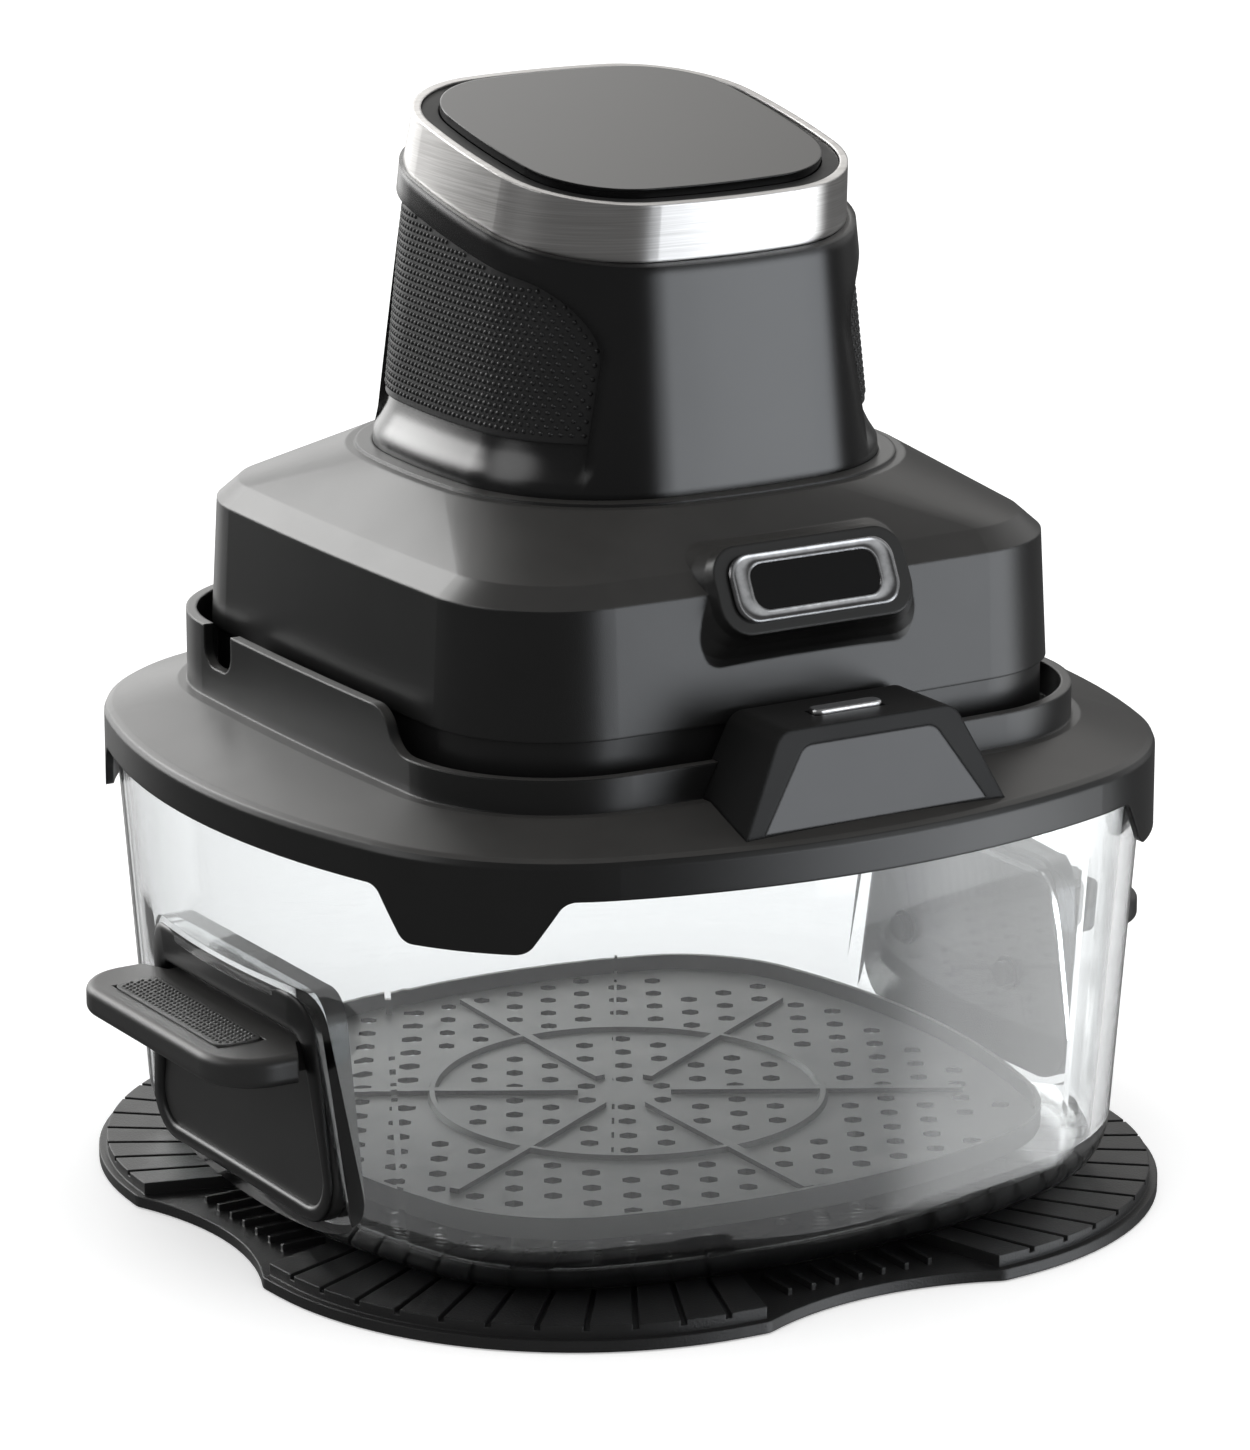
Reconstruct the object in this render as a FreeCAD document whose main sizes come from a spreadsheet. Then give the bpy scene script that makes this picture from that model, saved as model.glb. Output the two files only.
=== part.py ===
import FreeCAD, Part
import math
import os
import re
import Sketcher
from FreeCAD import Placement, Rotation, Vector

# Countertop air cooker. Millimetres, +Z up, the latch looks along -Y, origin under the mat's middle.
doc = FreeCAD.newDocument("air_cooker")
sheet = doc.addObject("Spreadsheet::Sheet", "dims")

sizes = {
    # clearances shared by mating pieces
    "rest_gap": 0.3,        # between bodies that lift apart
    "slide_gap": 0.3,       # round sliding and turning pieces
    "screw_gap": 0.1,
    # mat
    "mat_half": 147,
    "mat_corner": 104,
    "mat_side": 700,
    "mat_height": 7,
    "mat_base": 3.4,
    "notch_deep": 10,
    "notch_radius": 95,
    "notch_soft": 6,
    "pad_inner": 96,
    "pad_edge": 2.5,
    "pad_slope": 0.277,     # the raised pads' side edges run nearly to the middle
    "groove_wide": 1.8,
    "groove_deep": 1.5,
    "groove_from": 112,
    "rib_from": 117,
    "rib_long": 14,
    "rib_wide": 1.4,
    "rib_pitch": 8,
    "rib_tall": 2,
    # lid ring outline, which the bowl follows
    "ring_half": 145,
    "ring_corner": 80,
    "ring_side": 259,
    "skirt_wall": 2.4,
    "skirt_gap": 0.5,
    "skirt_low": 130.3,
    "skirt_high": 141.9,
    "tab_low": 115,
    "tab_front": 95,        # half the open length between tabs, front and back
    "tab_flank": 83,        # the same, left and right
    "tab_lean": 9,
    "tab_round": 5,
    "edge_round": 2.4,
    "ring_plate": 3.2,
    "foot_half": 114.5,
    "foot_corner": 54,
    "foot_side": 1100,
    "foot_level": 148,
    "ring_mouth": 92,
    "collar_gap": 4.6,
    "collar_wall": 3.2,
    "collar_low": 158,
    "collar_high": 170,
    "collar_reach": 43,
    "collar_sweep": 10,
    "slot_wide": 18,        # notch in the collar behind each raised side
    "slot_round": 6,
    # bowl
    "bowl_rim": 136,
    "bowl_taper": 9.5,
    "bowl_wall": 4.5,
    "bowl_floor": 5,
    "bowl_round": 18,
    "seal_wide": 5,
    "pocket_back": 126,
    "pocket_top": 84,
    "pocket_half": 46,
    "pocket_flare": 16,
    "pocket_round": 10,
    # bowl handles
    "handle_plate": 4.5,
    "handle_gap": 1,
    "handle_half": 40,
    "handle_low": 18,
    "handle_high": 82,
    "handle_round": 14,
    "ledge_top": 72.5,
    "ledge_thick": 9,
    "ledge_reach": 36,
    "ledge_neck": 13,
    "ledge_half": 51,
    "pad_deep": 1,
    "pad_half": 34,
    "handle_screw": 2,
    "handle_screw_y": 28,
    "handle_screw_z": 48,
    "washer_thick": 1,
    "washer_radius": 5.5,
    # crisper plate
    "plate_half": 112,
    "plate_corner": 52,
    "plate_side": 235,
    "plate_thick": 1.6,
    "plate_lip": 5,
    "foot_tall": 8,
    "plate_hole": 3,
    "plate_pitch": 13,
    "bead_radius": 60,
    "bead_half": 1.6,
    "bead_tall": 1.6,
    "spoke_from": 14,
    "spoke_to": 102,
    # head
    "head_half": 102.5,
    "head_corner": 40,
    "head_side": 1500,
    "head_wall": 3,
    "base_inset": 1.6,
    "base_floor": 3,
    "seam_level": 166.4,
    "shoulder_low": 203.8,
    "shoulder_inset": 2,
    "shoulder_high": 209.5,
    "shoulder_step": 6.5,
    "roof_level": 223.5,
    "step_wide": 5,         # low step round the tower's foot
    "step_tall": 0.9,
    "roof_rim": 3,
    "boss_x": 74,
    "boss_radius": 5,
    "base_screw": 1.9,
    # badge
    "badge_y": 103.2,
    "badge_z": 204.6,
    "badge_tilt": 63,
    "boss_wide": 64,
    "boss_tall": 26,
    "boss_flare": 14,       # how far the boss spreads where it runs into the head
    "boss_round": 9,
    "boss_deep": 13,
    "badge_wide": 55,
    "badge_tall": 20,
    "badge_rim": 2.6,
    "badge_round": 6.5,
    "badge_deep": 1.6,
    # tower
    "tower_half": 68.4,
    "tower_corner": 48,
    "tower_side": 260,
    "tower_draft": 0.104,
    "tower_wall": 3.2,
    "tower_top": 301,
    "tower_lean": 10.7,
    "grip_deep": 4,
    "grip_skin": 1.6,
    "grip_inner": 34,
    "grip_front": 57,
    "grip_back": 50,
    "grip_foot": 5,         # from the roof up to the recess
    "grip_sweep": 11,       # height of the curved run up to the textured panel
    "grip_top": 8.5,        # from the leaning top down to the recess
    "grip_round": 24,
    "band_inset": 1.6,
    "band_wall": 2.5,
    "band_tall": 16.7,
    "band_taper": 1.4,
    "bezel_rim": 5.3,
    "panel_thick": 5,
    "panel_proud": 2,
    "board_thick": 1.6,
    # latch
    "latch_low_half": 45,
    "latch_high_half": 29,
    "latch_low": 139.5,
    "latch_top": 171,
    "latch_front": 137.5,
    "latch_lean": 0.18,
    "latch_frame": 8,
    "latch_panel": 2,
    "latch_wall": 3,
    "latch_room": 18,
    "latch_screw": 1.6,
    "latch_screw_x": 30,
    "latch_screw_y": 122,
    "button_long": 23,
    "button_wide": 5.6,
    "button_y": 120,
    "button_proud": 1.4,
    "button_travel": 2.5,
    "button_flange": 2,
    "tongue_half": 9,
    "tongue_thick": 0.8,
    # hot air drive
    "guard_radius": 88,
    "guard_mouth": 82,
    "guard_thick": 1.2,
    "guard_wire": 2.4,
    "dish_radius": 87,
    "dish_top": 186,
    "dish_thick": 1,
    "coil_tube": 3,
    "coil_outer": 74,
    "coil_inner": 54,
    "coil_level": 163,
    "fan_low": 172,
    "fan_tall": 10,
    "fan_radius": 64,
    "fan_plate": 1.2,
    "hub_radius": 9,
    "shaft_radius": 4,
    "shaft_gap": 0.05,
    "shaft_top": 249,
    "bracket_rise": 4,
    "bracket_thick": 1.5,
    "motor_radius": 29,
    "motor_tall": 33,
    "cooler_radius": 44,
    "cooler_gap": 6,
    "cooler_tall": 11,
    "gland_z": 186,
    "gland_radius": 6.5,
    "gland_flange": 9.5,
}

for row, (word, size) in enumerate(sizes.items(), 1):
    sheet.set(f"A{row}", word)
    sheet.set(f"B{row}", str(size))
    sheet.setAlias(f"B{row}", word)
doc.recompute()

nodes = []


def val(rule):
    return float(sheet.evalExpression(rule))


def bind(thing, place, rule):
    linked = re.sub(r"[a-z]\w*", lambda word: "dims." + word[0] if word[0] in sizes else word[0], str(rule))
    thing.setExpression(place, linked)


def node(thing, label):
    thing.Label = label
    nodes.append(thing)
    return thing


# building helpers

def new_body(name):
    return doc.addObject("PartDesign::Body", name)


def sketch_in(body, name, plane, offset="0"):
    sketch = body.newObject("Sketcher::SketchObject", name)
    sketch.AttachmentSupport = [(next(f for f in body.Origin.OriginFeatures if f.Role == plane), "")]
    sketch.MapMode = "FlatFace"
    bind(sketch, "AttachmentOffset.Base.z", offset)
    return sketch


def fix(sketch, kind, parts, rule):
    index = sketch.addConstraint(Sketcher.Constraint(kind, *parts, val(rule)))
    bind(sketch, f"Constraints[{index}]", rule)


def polygon(sketch, points):
    """Closed line loop; every corner is set out from the origin by two rules."""
    corners = [Vector(val(x), val(y), 0) for x, y in points]
    first = sketch.GeometryCount
    count = len(points)
    for i in range(count):
        sketch.addGeometry(Part.LineSegment(corners[i], corners[(i + 1) % count]), False)
    for i in range(count):
        sketch.addConstraint(Sketcher.Constraint("Coincident", first + i, 2, first + (i + 1) % count, 1))
    for i, (x, y) in enumerate(points):
        if abs(corners[i].x) < 1e-6:
            sketch.addConstraint(Sketcher.Constraint("PointOnObject", first + i, 1, -2))
        else:
            fix(sketch, "DistanceX", (-1, 1, first + i, 1), x)
        if abs(corners[i].y) < 1e-6:
            sketch.addConstraint(Sketcher.Constraint("PointOnObject", first + i, 1, -1))
        else:
            fix(sketch, "DistanceY", (-1, 1, first + i, 1), y)


def circle(sketch, x, y, radius):
    index = sketch.addGeometry(Part.Circle(Vector(val(x), val(y), 0), Vector(0, 0, 1), val(radius)), False)
    fix(sketch, "Radius", (index,), radius)
    if abs(val(x)) < 1e-6:
        sketch.addConstraint(Sketcher.Constraint("PointOnObject", index, 3, -2))
    else:
        fix(sketch, "DistanceX", (-1, 1, index, 3), x)
    if abs(val(y)) < 1e-6:
        sketch.addConstraint(Sketcher.Constraint("PointOnObject", index, 3, -1))
    else:
        fix(sketch, "DistanceY", (-1, 1, index, 3), y)


def pad(body, sketch, length, flip=False):
    step = body.newObject("PartDesign::Pad", sketch.Name + "_pad")
    step.Profile = sketch
    bind(step, "Length", length)
    step.Reversed = flip
    body.Tip = step
    return step


def pocket(body, sketch, length, flip=False):
    step = body.newObject("PartDesign::Pocket", sketch.Name + "_cut")
    step.Profile = sketch
    bind(step, "Length", length)
    step.Reversed = flip
    body.Tip = step
    return step


def soften(body, name, radius, test):
    doc.recompute()
    solid = body.Tip
    picked = [f"Edge{i + 1}" for i, edge in enumerate(solid.Shape.Edges) if test(edge)]
    step = body.newObject("PartDesign::Fillet", name)
    step.Base = (solid, picked)
    bind(step, "Radius", radius)
    body.Tip = step
    return step


def middle(edge):
    return edge.valueAt((edge.FirstParameter + edge.LastParameter) / 2)


def along(edge, axis):
    run = edge.Vertexes[-1].Point - edge.Vertexes[0].Point
    return run.Length > 1e-6 and abs(run.normalize().dot(axis)) > 0.999


def prism(name, plane, points, start, length, flip=False):
    body = new_body(name)
    sketch = sketch_in(body, name + "_outline", plane, start)
    polygon(sketch, points)
    pad(body, sketch, length, flip)
    return body


def turned(name, points):
    """A solid turned round the Z axis from a half profile of (radius, height) rules."""
    body = new_body(name)
    sketch = sketch_in(body, name + "_profile", "XZ_Plane")
    polygon(sketch, points)
    step = body.newObject("PartDesign::Revolution", name + "_turn")
    step.Profile = sketch
    step.ReferenceAxis = (sketch, ["V_Axis"])
    step.Angle = 360
    body.Tip = step
    return body


def outline(name, level, half, corner, side, body=None):
    """Bulged square: four side arcs and four corner arcs, tangent all round."""
    h, rc, rs = val(half), val(corner), val(side)
    reach = rs - h
    inner = (math.sqrt(2 * (rs - rc) ** 2 - reach ** 2) - reach) / 2
    lean = math.atan2(inner, inner + reach)
    up = Vector(0, 0, 1)
    if body:
        sketch = sketch_in(body, name, "XY_Plane", level)
    else:
        sketch = doc.addObject("Sketcher::SketchObject", name)
        bind(sketch, "Placement.Base.z", level)
    for quarter in range(4):
        aim = (quarter - 1) * math.pi / 2
        centre = Vector(-reach * math.cos(aim), -reach * math.sin(aim), 0)
        sketch.addGeometry(Part.ArcOfCircle(Part.Circle(centre, up, rs), aim - lean, aim + lean), False)
        slant = aim + math.pi / 4
        centre = Vector(math.cos(slant), math.sin(slant), 0) * inner * math.sqrt(2)
        turn = Part.ArcOfCircle(Part.Circle(centre, up, rc), aim + lean, aim + math.pi / 2 - lean)
        sketch.addGeometry(turn, False)
    for i in range(8):
        sketch.addConstraint(Sketcher.Constraint("Tangent", i, 2, (i + 1) % 8, 1))
    for i in range(2, 8):
        sketch.addConstraint(Sketcher.Constraint("Equal", i % 2, i))
    fix(sketch, "Radius", (0,), side)
    fix(sketch, "Radius", (1,), corner)
    for i, axis, kind, sign in ((0, -2, "DistanceY", ""), (2, -1, "DistanceX", "-"),
                                (4, -2, "DistanceY", "-"), (6, -1, "DistanceX", "")):
        sketch.addConstraint(Sketcher.Constraint("PointOnObject", i, 3, axis))
        fix(sketch, kind, (-1, 1, i, 3), f"{sign}({side} - ({half}))")
    return sketch


def pill(name, level, wide, tall, corner, body):
    """Rounded rectangle about the origin, in a body."""
    sketch = sketch_in(body, name, "XY_Plane", level)
    x, y, r = val(wide) / 2, val(tall) / 2, val(corner)
    spots = [(r - x, -y), (x - r, -y), (x, r - y), (x, y - r), (x - r, y), (r - x, y), (-x, y - r),
             (-x, r - y)]
    spots = [Vector(a, b, 0) for a, b in spots]
    middles = [Vector(x - r, r - y, 0), Vector(x - r, y - r, 0), Vector(r - x, y - r, 0),
               Vector(r - x, r - y, 0)]
    for i, centre in enumerate(middles):
        sketch.addGeometry(Part.LineSegment(spots[2 * i], spots[2 * i + 1]), False)
        start = (i - 1) * math.pi / 2
        turn = Part.ArcOfCircle(Part.Circle(centre, Vector(0, 0, 1), r), start, start + math.pi / 2)
        sketch.addGeometry(turn, False)
    for i in range(8):
        sketch.addConstraint(Sketcher.Constraint("Tangent", i, 2, (i + 1) % 8, 1))
    for line, way in ((0, "Horizontal"), (2, "Vertical"), (4, "Horizontal"), (6, "Vertical")):
        sketch.addConstraint(Sketcher.Constraint(way, line))
    for arc in (3, 5, 7):
        sketch.addConstraint(Sketcher.Constraint("Equal", 1, arc))
    fix(sketch, "Radius", (1,), corner)
    for line, kind, rule in ((0, "DistanceY", f"-({tall}) / 2"), (4, "DistanceY", f"({tall}) / 2"),
                             (2, "DistanceX", f"({wide}) / 2"), (6, "DistanceX", f"-({wide}) / 2")):
        fix(sketch, kind, (-1, 1, line, 1), rule)
    return sketch


def loft(name, sections):
    """Ruled solid through (level, half, corner, side) rows."""
    solid = doc.addObject("Part::Loft", name)
    solid.Sections = [outline(f"{name}_{i}", *row) for i, row in enumerate(sections)]
    solid.Solid = True
    solid.Ruled = True
    return solid


def blend(body, name, rows, hollow=False):
    """The same ruled form as a step of a body, added or cut away."""
    sketches = [outline(f"{name}_{i}", *row, body=body) for i, row in enumerate(rows)]
    kind = "PartDesign::SubtractiveLoft" if hollow else "PartDesign::AdditiveLoft"
    step = body.newObject(kind, name)
    step.Profile = sketches[0]
    step.Sections = sketches[1:]
    step.Ruled = True
    body.Tip = step
    return step


def inset(row, amount, level=None):
    return (level or row[0],) + tuple(f"{rule} - ({amount})" for rule in row[1:])


def cut(name, base, *tools):
    for i, tool in enumerate(tools):
        step = doc.addObject("Part::Cut", f"{name}_cut{i}")
        step.Base = base
        step.Tool = tool
        base = step
    return base


def fuse(name, *shapes):
    step = doc.addObject("Part::MultiFuse", name)
    step.Shapes = list(shapes)
    return step


def common(name, *shapes):
    step = doc.addObject("Part::MultiCommon", name)
    step.Shapes = list(shapes)
    return step


def group(name, shapes):
    step = doc.addObject("Part::Compound", name)
    step.Links = shapes
    return step


def place(thing, x="0", y="0", z="0", axis=None, angle=None):
    if axis is not None:
        thing.Placement = Placement(Vector(0, 0, 0), Rotation(axis, val(angle)))
        bind(thing, "Placement.Rotation.Angle", angle)
    bind(thing, "Placement.Base.x", x)
    bind(thing, "Placement.Base.y", y)
    bind(thing, "Placement.Base.z", z)
    return thing


def cylinder(name, radius, height, x="0", y="0", z="0", axis=None, angle=None):
    solid = doc.addObject("Part::Cylinder", name)
    bind(solid, "Radius", radius)
    bind(solid, "Height", height)
    return place(solid, x, y, z, axis, angle)


def box(name, length, width, height, x, y, z):
    """Block with its middle at x, y and its underside at z."""
    solid = doc.addObject("Part::Box", name)
    bind(solid, "Length", length)
    bind(solid, "Width", width)
    bind(solid, "Height", height)
    return place(solid, f"{x} - ({length}) / 2", f"{y} - ({width}) / 2", z)


X, Y, Z = Vector(1, 0, 0), Vector(0, 1, 0), Vector(0, 0, 1)

# rules used by several pieces
bowl_low = "(mat_height + rest_gap)"
ring_in = "(skirt_wall + skirt_gap)"
rim_row = ("bowl_rim", f"ring_half - {ring_in}", f"ring_corner - {ring_in}", f"ring_side - {ring_in}")
sole_row = inset(rim_row, "bowl_taper", bowl_low)
plate_low = f"({bowl_low} + bowl_floor + rest_gap + foot_tall)"
base_low = "(foot_level + rest_gap)"
floor_top = f"({base_low} + base_floor)"
dish_low = f"({floor_top} + guard_thick)"
bracket_low = "(dish_top + bracket_rise)"
motor_low = f"({bracket_low} + bracket_thick)"
cooler_low = f"({motor_low} + motor_tall + cooler_gap)"


def ring_of(body, name, step, around, count):
    """Repeats a step of a body round the Z axis."""
    turn = body.newObject("PartDesign::PolarPattern", name)
    turn.Originals = [step]
    turn.Axis = (around, ["N_Axis"])
    turn.Angle = 360
    turn.Occurrences = count
    body.Tip = turn


def build_mat():
    body = new_body("base_mat")
    pad(body, outline("mat_outline", "0", "mat_half", "mat_corner", "mat_side", body=body), "mat_base")
    raised = outline("mat_pads", "0",
                     *(f"{rule} - pad_edge" for rule in ("mat_half", "mat_corner", "mat_side")), body=body)
    pad(body, raised, "mat_height")
    middle_ground = sketch_in(body, "mat_middle", "XY_Plane", "mat_height")
    circle(middle_ground, "0", "0", "pad_inner")
    pocket(body, middle_ground, "mat_height - mat_base")
    ground = sketch_in(body, "mat_ground", "XY_Plane", "mat_height")
    near, far = "(pad_inner - 20)", "(mat_half + 5)"
    polygon(ground, [(near, f"-{near} * pad_slope"), (far, f"-{far} * pad_slope"),
                     (far, f"{far} * pad_slope"), (near, f"{near} * pad_slope")])
    ring_of(body, "mat_grounds", pocket(body, ground, "mat_height - mat_base"), ground, 4)
    notch = sketch_in(body, "mat_notch", "XY_Plane", "mat_height")
    circle(notch, "mat_half - notch_deep + notch_radius", "0", "notch_radius")
    ring_of(body, "mat_notches", pocket(body, notch, "mat_height + 1"), notch, 4)
    low, far = val("mat_base * 0.7"), val("mat_half - 4")
    soften(body, "mat_notch_corners", "notch_soft",
           lambda edge: along(edge, Z) and middle(edge).z < low
           and math.hypot(middle(edge).x, middle(edge).y) > far)
    # short ribs on the low ground, at the bowl's edge
    ribs = sketch_in(body, "mat_ribs", "XY_Plane")
    for step in range(-3, 4):
        polygon(ribs, rect("rib_from + rib_long / 2", f"{step} * rib_pitch", "rib_long", "rib_wide"))
    ring_of(body, "mat_rib_sets", pad(body, ribs, "mat_base + rib_tall"), ribs, 4)
    # radial grooves in the pads
    groove = sketch_in(body, "mat_groove", "XY_Plane", "mat_height")
    polygon(groove,
            rect("(groove_from + mat_half + 20) / 2", "0", "mat_half + 20 - groove_from", "groove_wide"))
    ring_of(body, "mat_grooves", pocket(body, groove, "groove_deep"), groove, 72)
    node(body, "base_mat")


def round_off(name, base, radius, test):
    doc.recompute()
    step = doc.addObject("Part::Fillet", name)
    step.Base = base
    step.Edges = [(i + 1, val(radius), val(radius)) for i, edge in enumerate(base.Shape.Edges) if test(edge)]
    return step


def rect(x, y, long, wide):
    """Corner rules of a rectangle about x, y."""
    return [(f"{x} - ({long}) / 2", f"{y} - ({wide}) / 2"), (f"{x} + ({long}) / 2", f"{y} - ({wide}) / 2"),
            (f"{x} + ({long}) / 2", f"{y} + ({wide}) / 2"), (f"{x} - ({long}) / 2", f"{y} + ({wide}) / 2")]


def slab(name, points, level, thick, corner=None):
    """Upright prism on a polygon, its upright edges rounded."""
    body = prism(name, "XY_Plane", points, level, thick)
    if corner:
        soften(body, name + "_corners", corner, lambda edge: along(edge, Z))
    return body


def holed_sheet(name, wire, level, thick, spots, radius):
    """Flat net: one face with six-sided holes, drawn up to its thickness."""
    rings = [wire]
    for x, y in spots:
        corners = [Vector(x + radius * math.cos(k * math.pi / 3), y + radius * math.sin(k * math.pi / 3), 0)
                   for k in range(7)]
        rings.append(Part.makePolygon(corners))
    face = Part.makeFace(rings, "Part::FaceMakerBullseye")
    face.translate(Vector(0, 0, level))
    sheet_piece = doc.addObject("Part::Feature", name)
    sheet_piece.Shape = face.extrude(Vector(0, 0, thick))
    return sheet_piece


def hex_spots(pitch, keep):
    """Staggered hole places round the middle that pass the test."""
    rows = range(-16, 17)
    places = [((column + (row % 2) / 2) * pitch, row * pitch * math.sqrt(3) / 2) for row in rows
              for column in rows]
    return [place for place in places if keep(*place)]


# bowl and handles

def pocket_block(name, grow, turn):
    """Recess in the bowl's side that takes a handle; grown by the wall for the inner face."""
    flare = f"pocket_half + pocket_flare + {grow}"
    body = prism(name, "YZ_Plane",
                 [(f"-({flare})", "0"), (flare, "0"), (f"pocket_half + {grow}", f"pocket_top + {grow}"),
                  (f"-(pocket_half + {grow})", f"pocket_top + {grow}")], f"pocket_back - {grow}", "60")
    soften(body, name + "_round", "pocket_round",
           lambda edge: along(edge, X) and middle(edge).z > val("pocket_top") - 1)
    return place(body, axis=Z, angle=turn)


def build_bowl():
    foot = val(bowl_low)
    outer = round_off("bowl_skin", loft("bowl_outer", [sole_row, rim_row]), "bowl_round",
                      lambda edge: all(abs(v.Z - foot) < 1e-3 for v in edge.Vertexes))
    floor = val(bowl_low + " + bowl_floor")
    inner_rows = [inset(sole_row, "bowl_wall", bowl_low + " + bowl_floor"),
                  inset(rim_row, "bowl_wall", "bowl_rim + 1")]
    inner = round_off("bowl_hollow", loft("bowl_inner", inner_rows), "bowl_round - bowl_wall",
                      lambda edge: all(abs(v.Z - floor) < 1e-3 for v in edge.Vertexes))
    hollow = cut("bowl_space", inner,
                 *[pocket_block(f"pocket_wall_{turn}", "bowl_wall", turn) for turn in ("0", "180")])
    holes = [cylinder(f"bowl_hole_{i}", "handle_screw + 3 * screw_gap", "pocket_back * 2 + 20",
                      "-pocket_back - 10", f"{sign}handle_screw_y", "handle_screw_z", Y, "90")
             for i, sign in enumerate(("", "-"))]
    pockets = [pocket_block(f"pocket_{turn}", "0", turn) for turn in ("0", "180")]
    node(cut("glass_bowl", outer, *pockets, hollow, *holes), "glass_bowl")


def build_handle(label, turn):
    body = new_body(label)
    back = sketch_in(body, label + "_back", "YZ_Plane", "pocket_back")
    wide = [f"(pocket_half + pocket_flare * (1 - {level} / pocket_top) - handle_gap)"
            for level in ("handle_low", "handle_high")]
    polygon(back, [(f"-{wide[0]}", "handle_low"), (wide[0], "handle_low"), (wide[1], "handle_high"),
                   (f"-{wide[1]}", "handle_high")])
    pad(body, back, "handle_plate")
    half_way = val("(handle_low + handle_high) / 2")
    soften(body, label + "_back_round", "handle_round",
           lambda edge: along(edge, X) and middle(edge).z < half_way)
    soften(body, label + "_back_top", "pocket_round",
           lambda edge: along(edge, X) and middle(edge).z > half_way + 10)
    ledge = sketch_in(body, label + "_ledge", "XY_Plane", "ledge_top")
    neck, out = "pocket_back + ledge_neck", "pocket_back + ledge_reach"
    polygon(ledge, [("pocket_back", "-handle_half"), (f"{neck} - 5", "-handle_half"), (neck, "-ledge_half"),
                    (out, "-ledge_half"), (out, "ledge_half"), (neck, "ledge_half"),
                    (f"{neck} - 5", "handle_half"), ("pocket_back", "handle_half")])
    pad(body, ledge, "ledge_thick", flip=True)
    high = val("handle_high")
    soften(body, label + "_back_soft", "2", lambda edge: abs(middle(edge).z - high) < 0.01
           and middle(edge).x > val("pocket_back + handle_plate") - 0.01)
    far = val(out) - 1
    soften(body, label + "_ledge_round", "(ledge_reach - ledge_neck) * 0.74",
           lambda edge: along(edge, Z) and middle(edge).x > far)
    low = val("ledge_top - ledge_thick")
    soften(body, label + "_ledge_soft", "2.6",
           lambda edge: middle(edge).x > val(neck) + 1 and not along(edge, Z)
           and min(abs(middle(edge).z - low), abs(middle(edge).z - val("ledge_top"))) < 0.01)
    seat = sketch_in(body, label + "_seat", "XY_Plane", "ledge_top")
    polygon(seat, rect("pocket_back + ledge_reach / 2 + 4", "0", "ledge_reach - 21", "2 * pad_half"))
    pocket(body, seat, "pad_deep")
    holes = sketch_in(body, label + "_holes", "YZ_Plane", "pocket_back")
    for sign in ("", "-"):
        circle(holes, f"{sign}handle_screw_y", "handle_screw_z", "handle_screw + screw_gap / 2")
    pocket(body, holes, "handle_plate - 0.8", flip=True)
    node(place(body, axis=Z, angle=turn), label)


def build_grip_pad(label, turn):
    edge = rect("pocket_back + ledge_reach / 2 + 4", "0", "ledge_reach - 21 - 2 * screw_gap",
                "2 * pad_half - 2 * screw_gap")
    body = slab(label, edge, "ledge_top - pad_deep", "pad_deep + 0.5", "4")
    node(place(body, axis=Z, angle=turn), label)


def build_handle_fasteners():
    screws, washers = [], []
    seat = "(pocket_back - bowl_wall - washer_thick)"
    for i, (side, sign) in enumerate(((a, b) for a in (1, -1) for b in ("", "-"))):
        y, z = f"{sign}handle_screw_y", "handle_screw_z"
        reach = "(bowl_wall + washer_thick + handle_plate - 1)"
        angle = "90" if side > 0 else "-90"
        shank = cylinder(f"shank_{i}", "handle_screw", reach, f"{side} * {seat}", y, z, Y, angle)
        top = cylinder(f"cap_{i}", "handle_screw * 2", "2.4", f"{side} * ({seat} - 2.4)", y, z, Y, angle)
        screws.append(fuse(f"handle_screw_{i}", shank, top))
        disc = cylinder(f"washer_disc_{i}", "washer_radius", "washer_thick", f"{side} * {seat}", y, z, Y,
                        angle)
        hole = cylinder(f"washer_hole_{i}", "handle_screw + screw_gap", "washer_thick", f"{side} * {seat}", y,
                        z, Y, angle)
        washers.append(cut(f"washer_{i}", disc, hole))
    node(group("handle_screws", screws), "handle_screws")
    node(group("handle_washers", washers), "handle_washers")


# crisper plate

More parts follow.
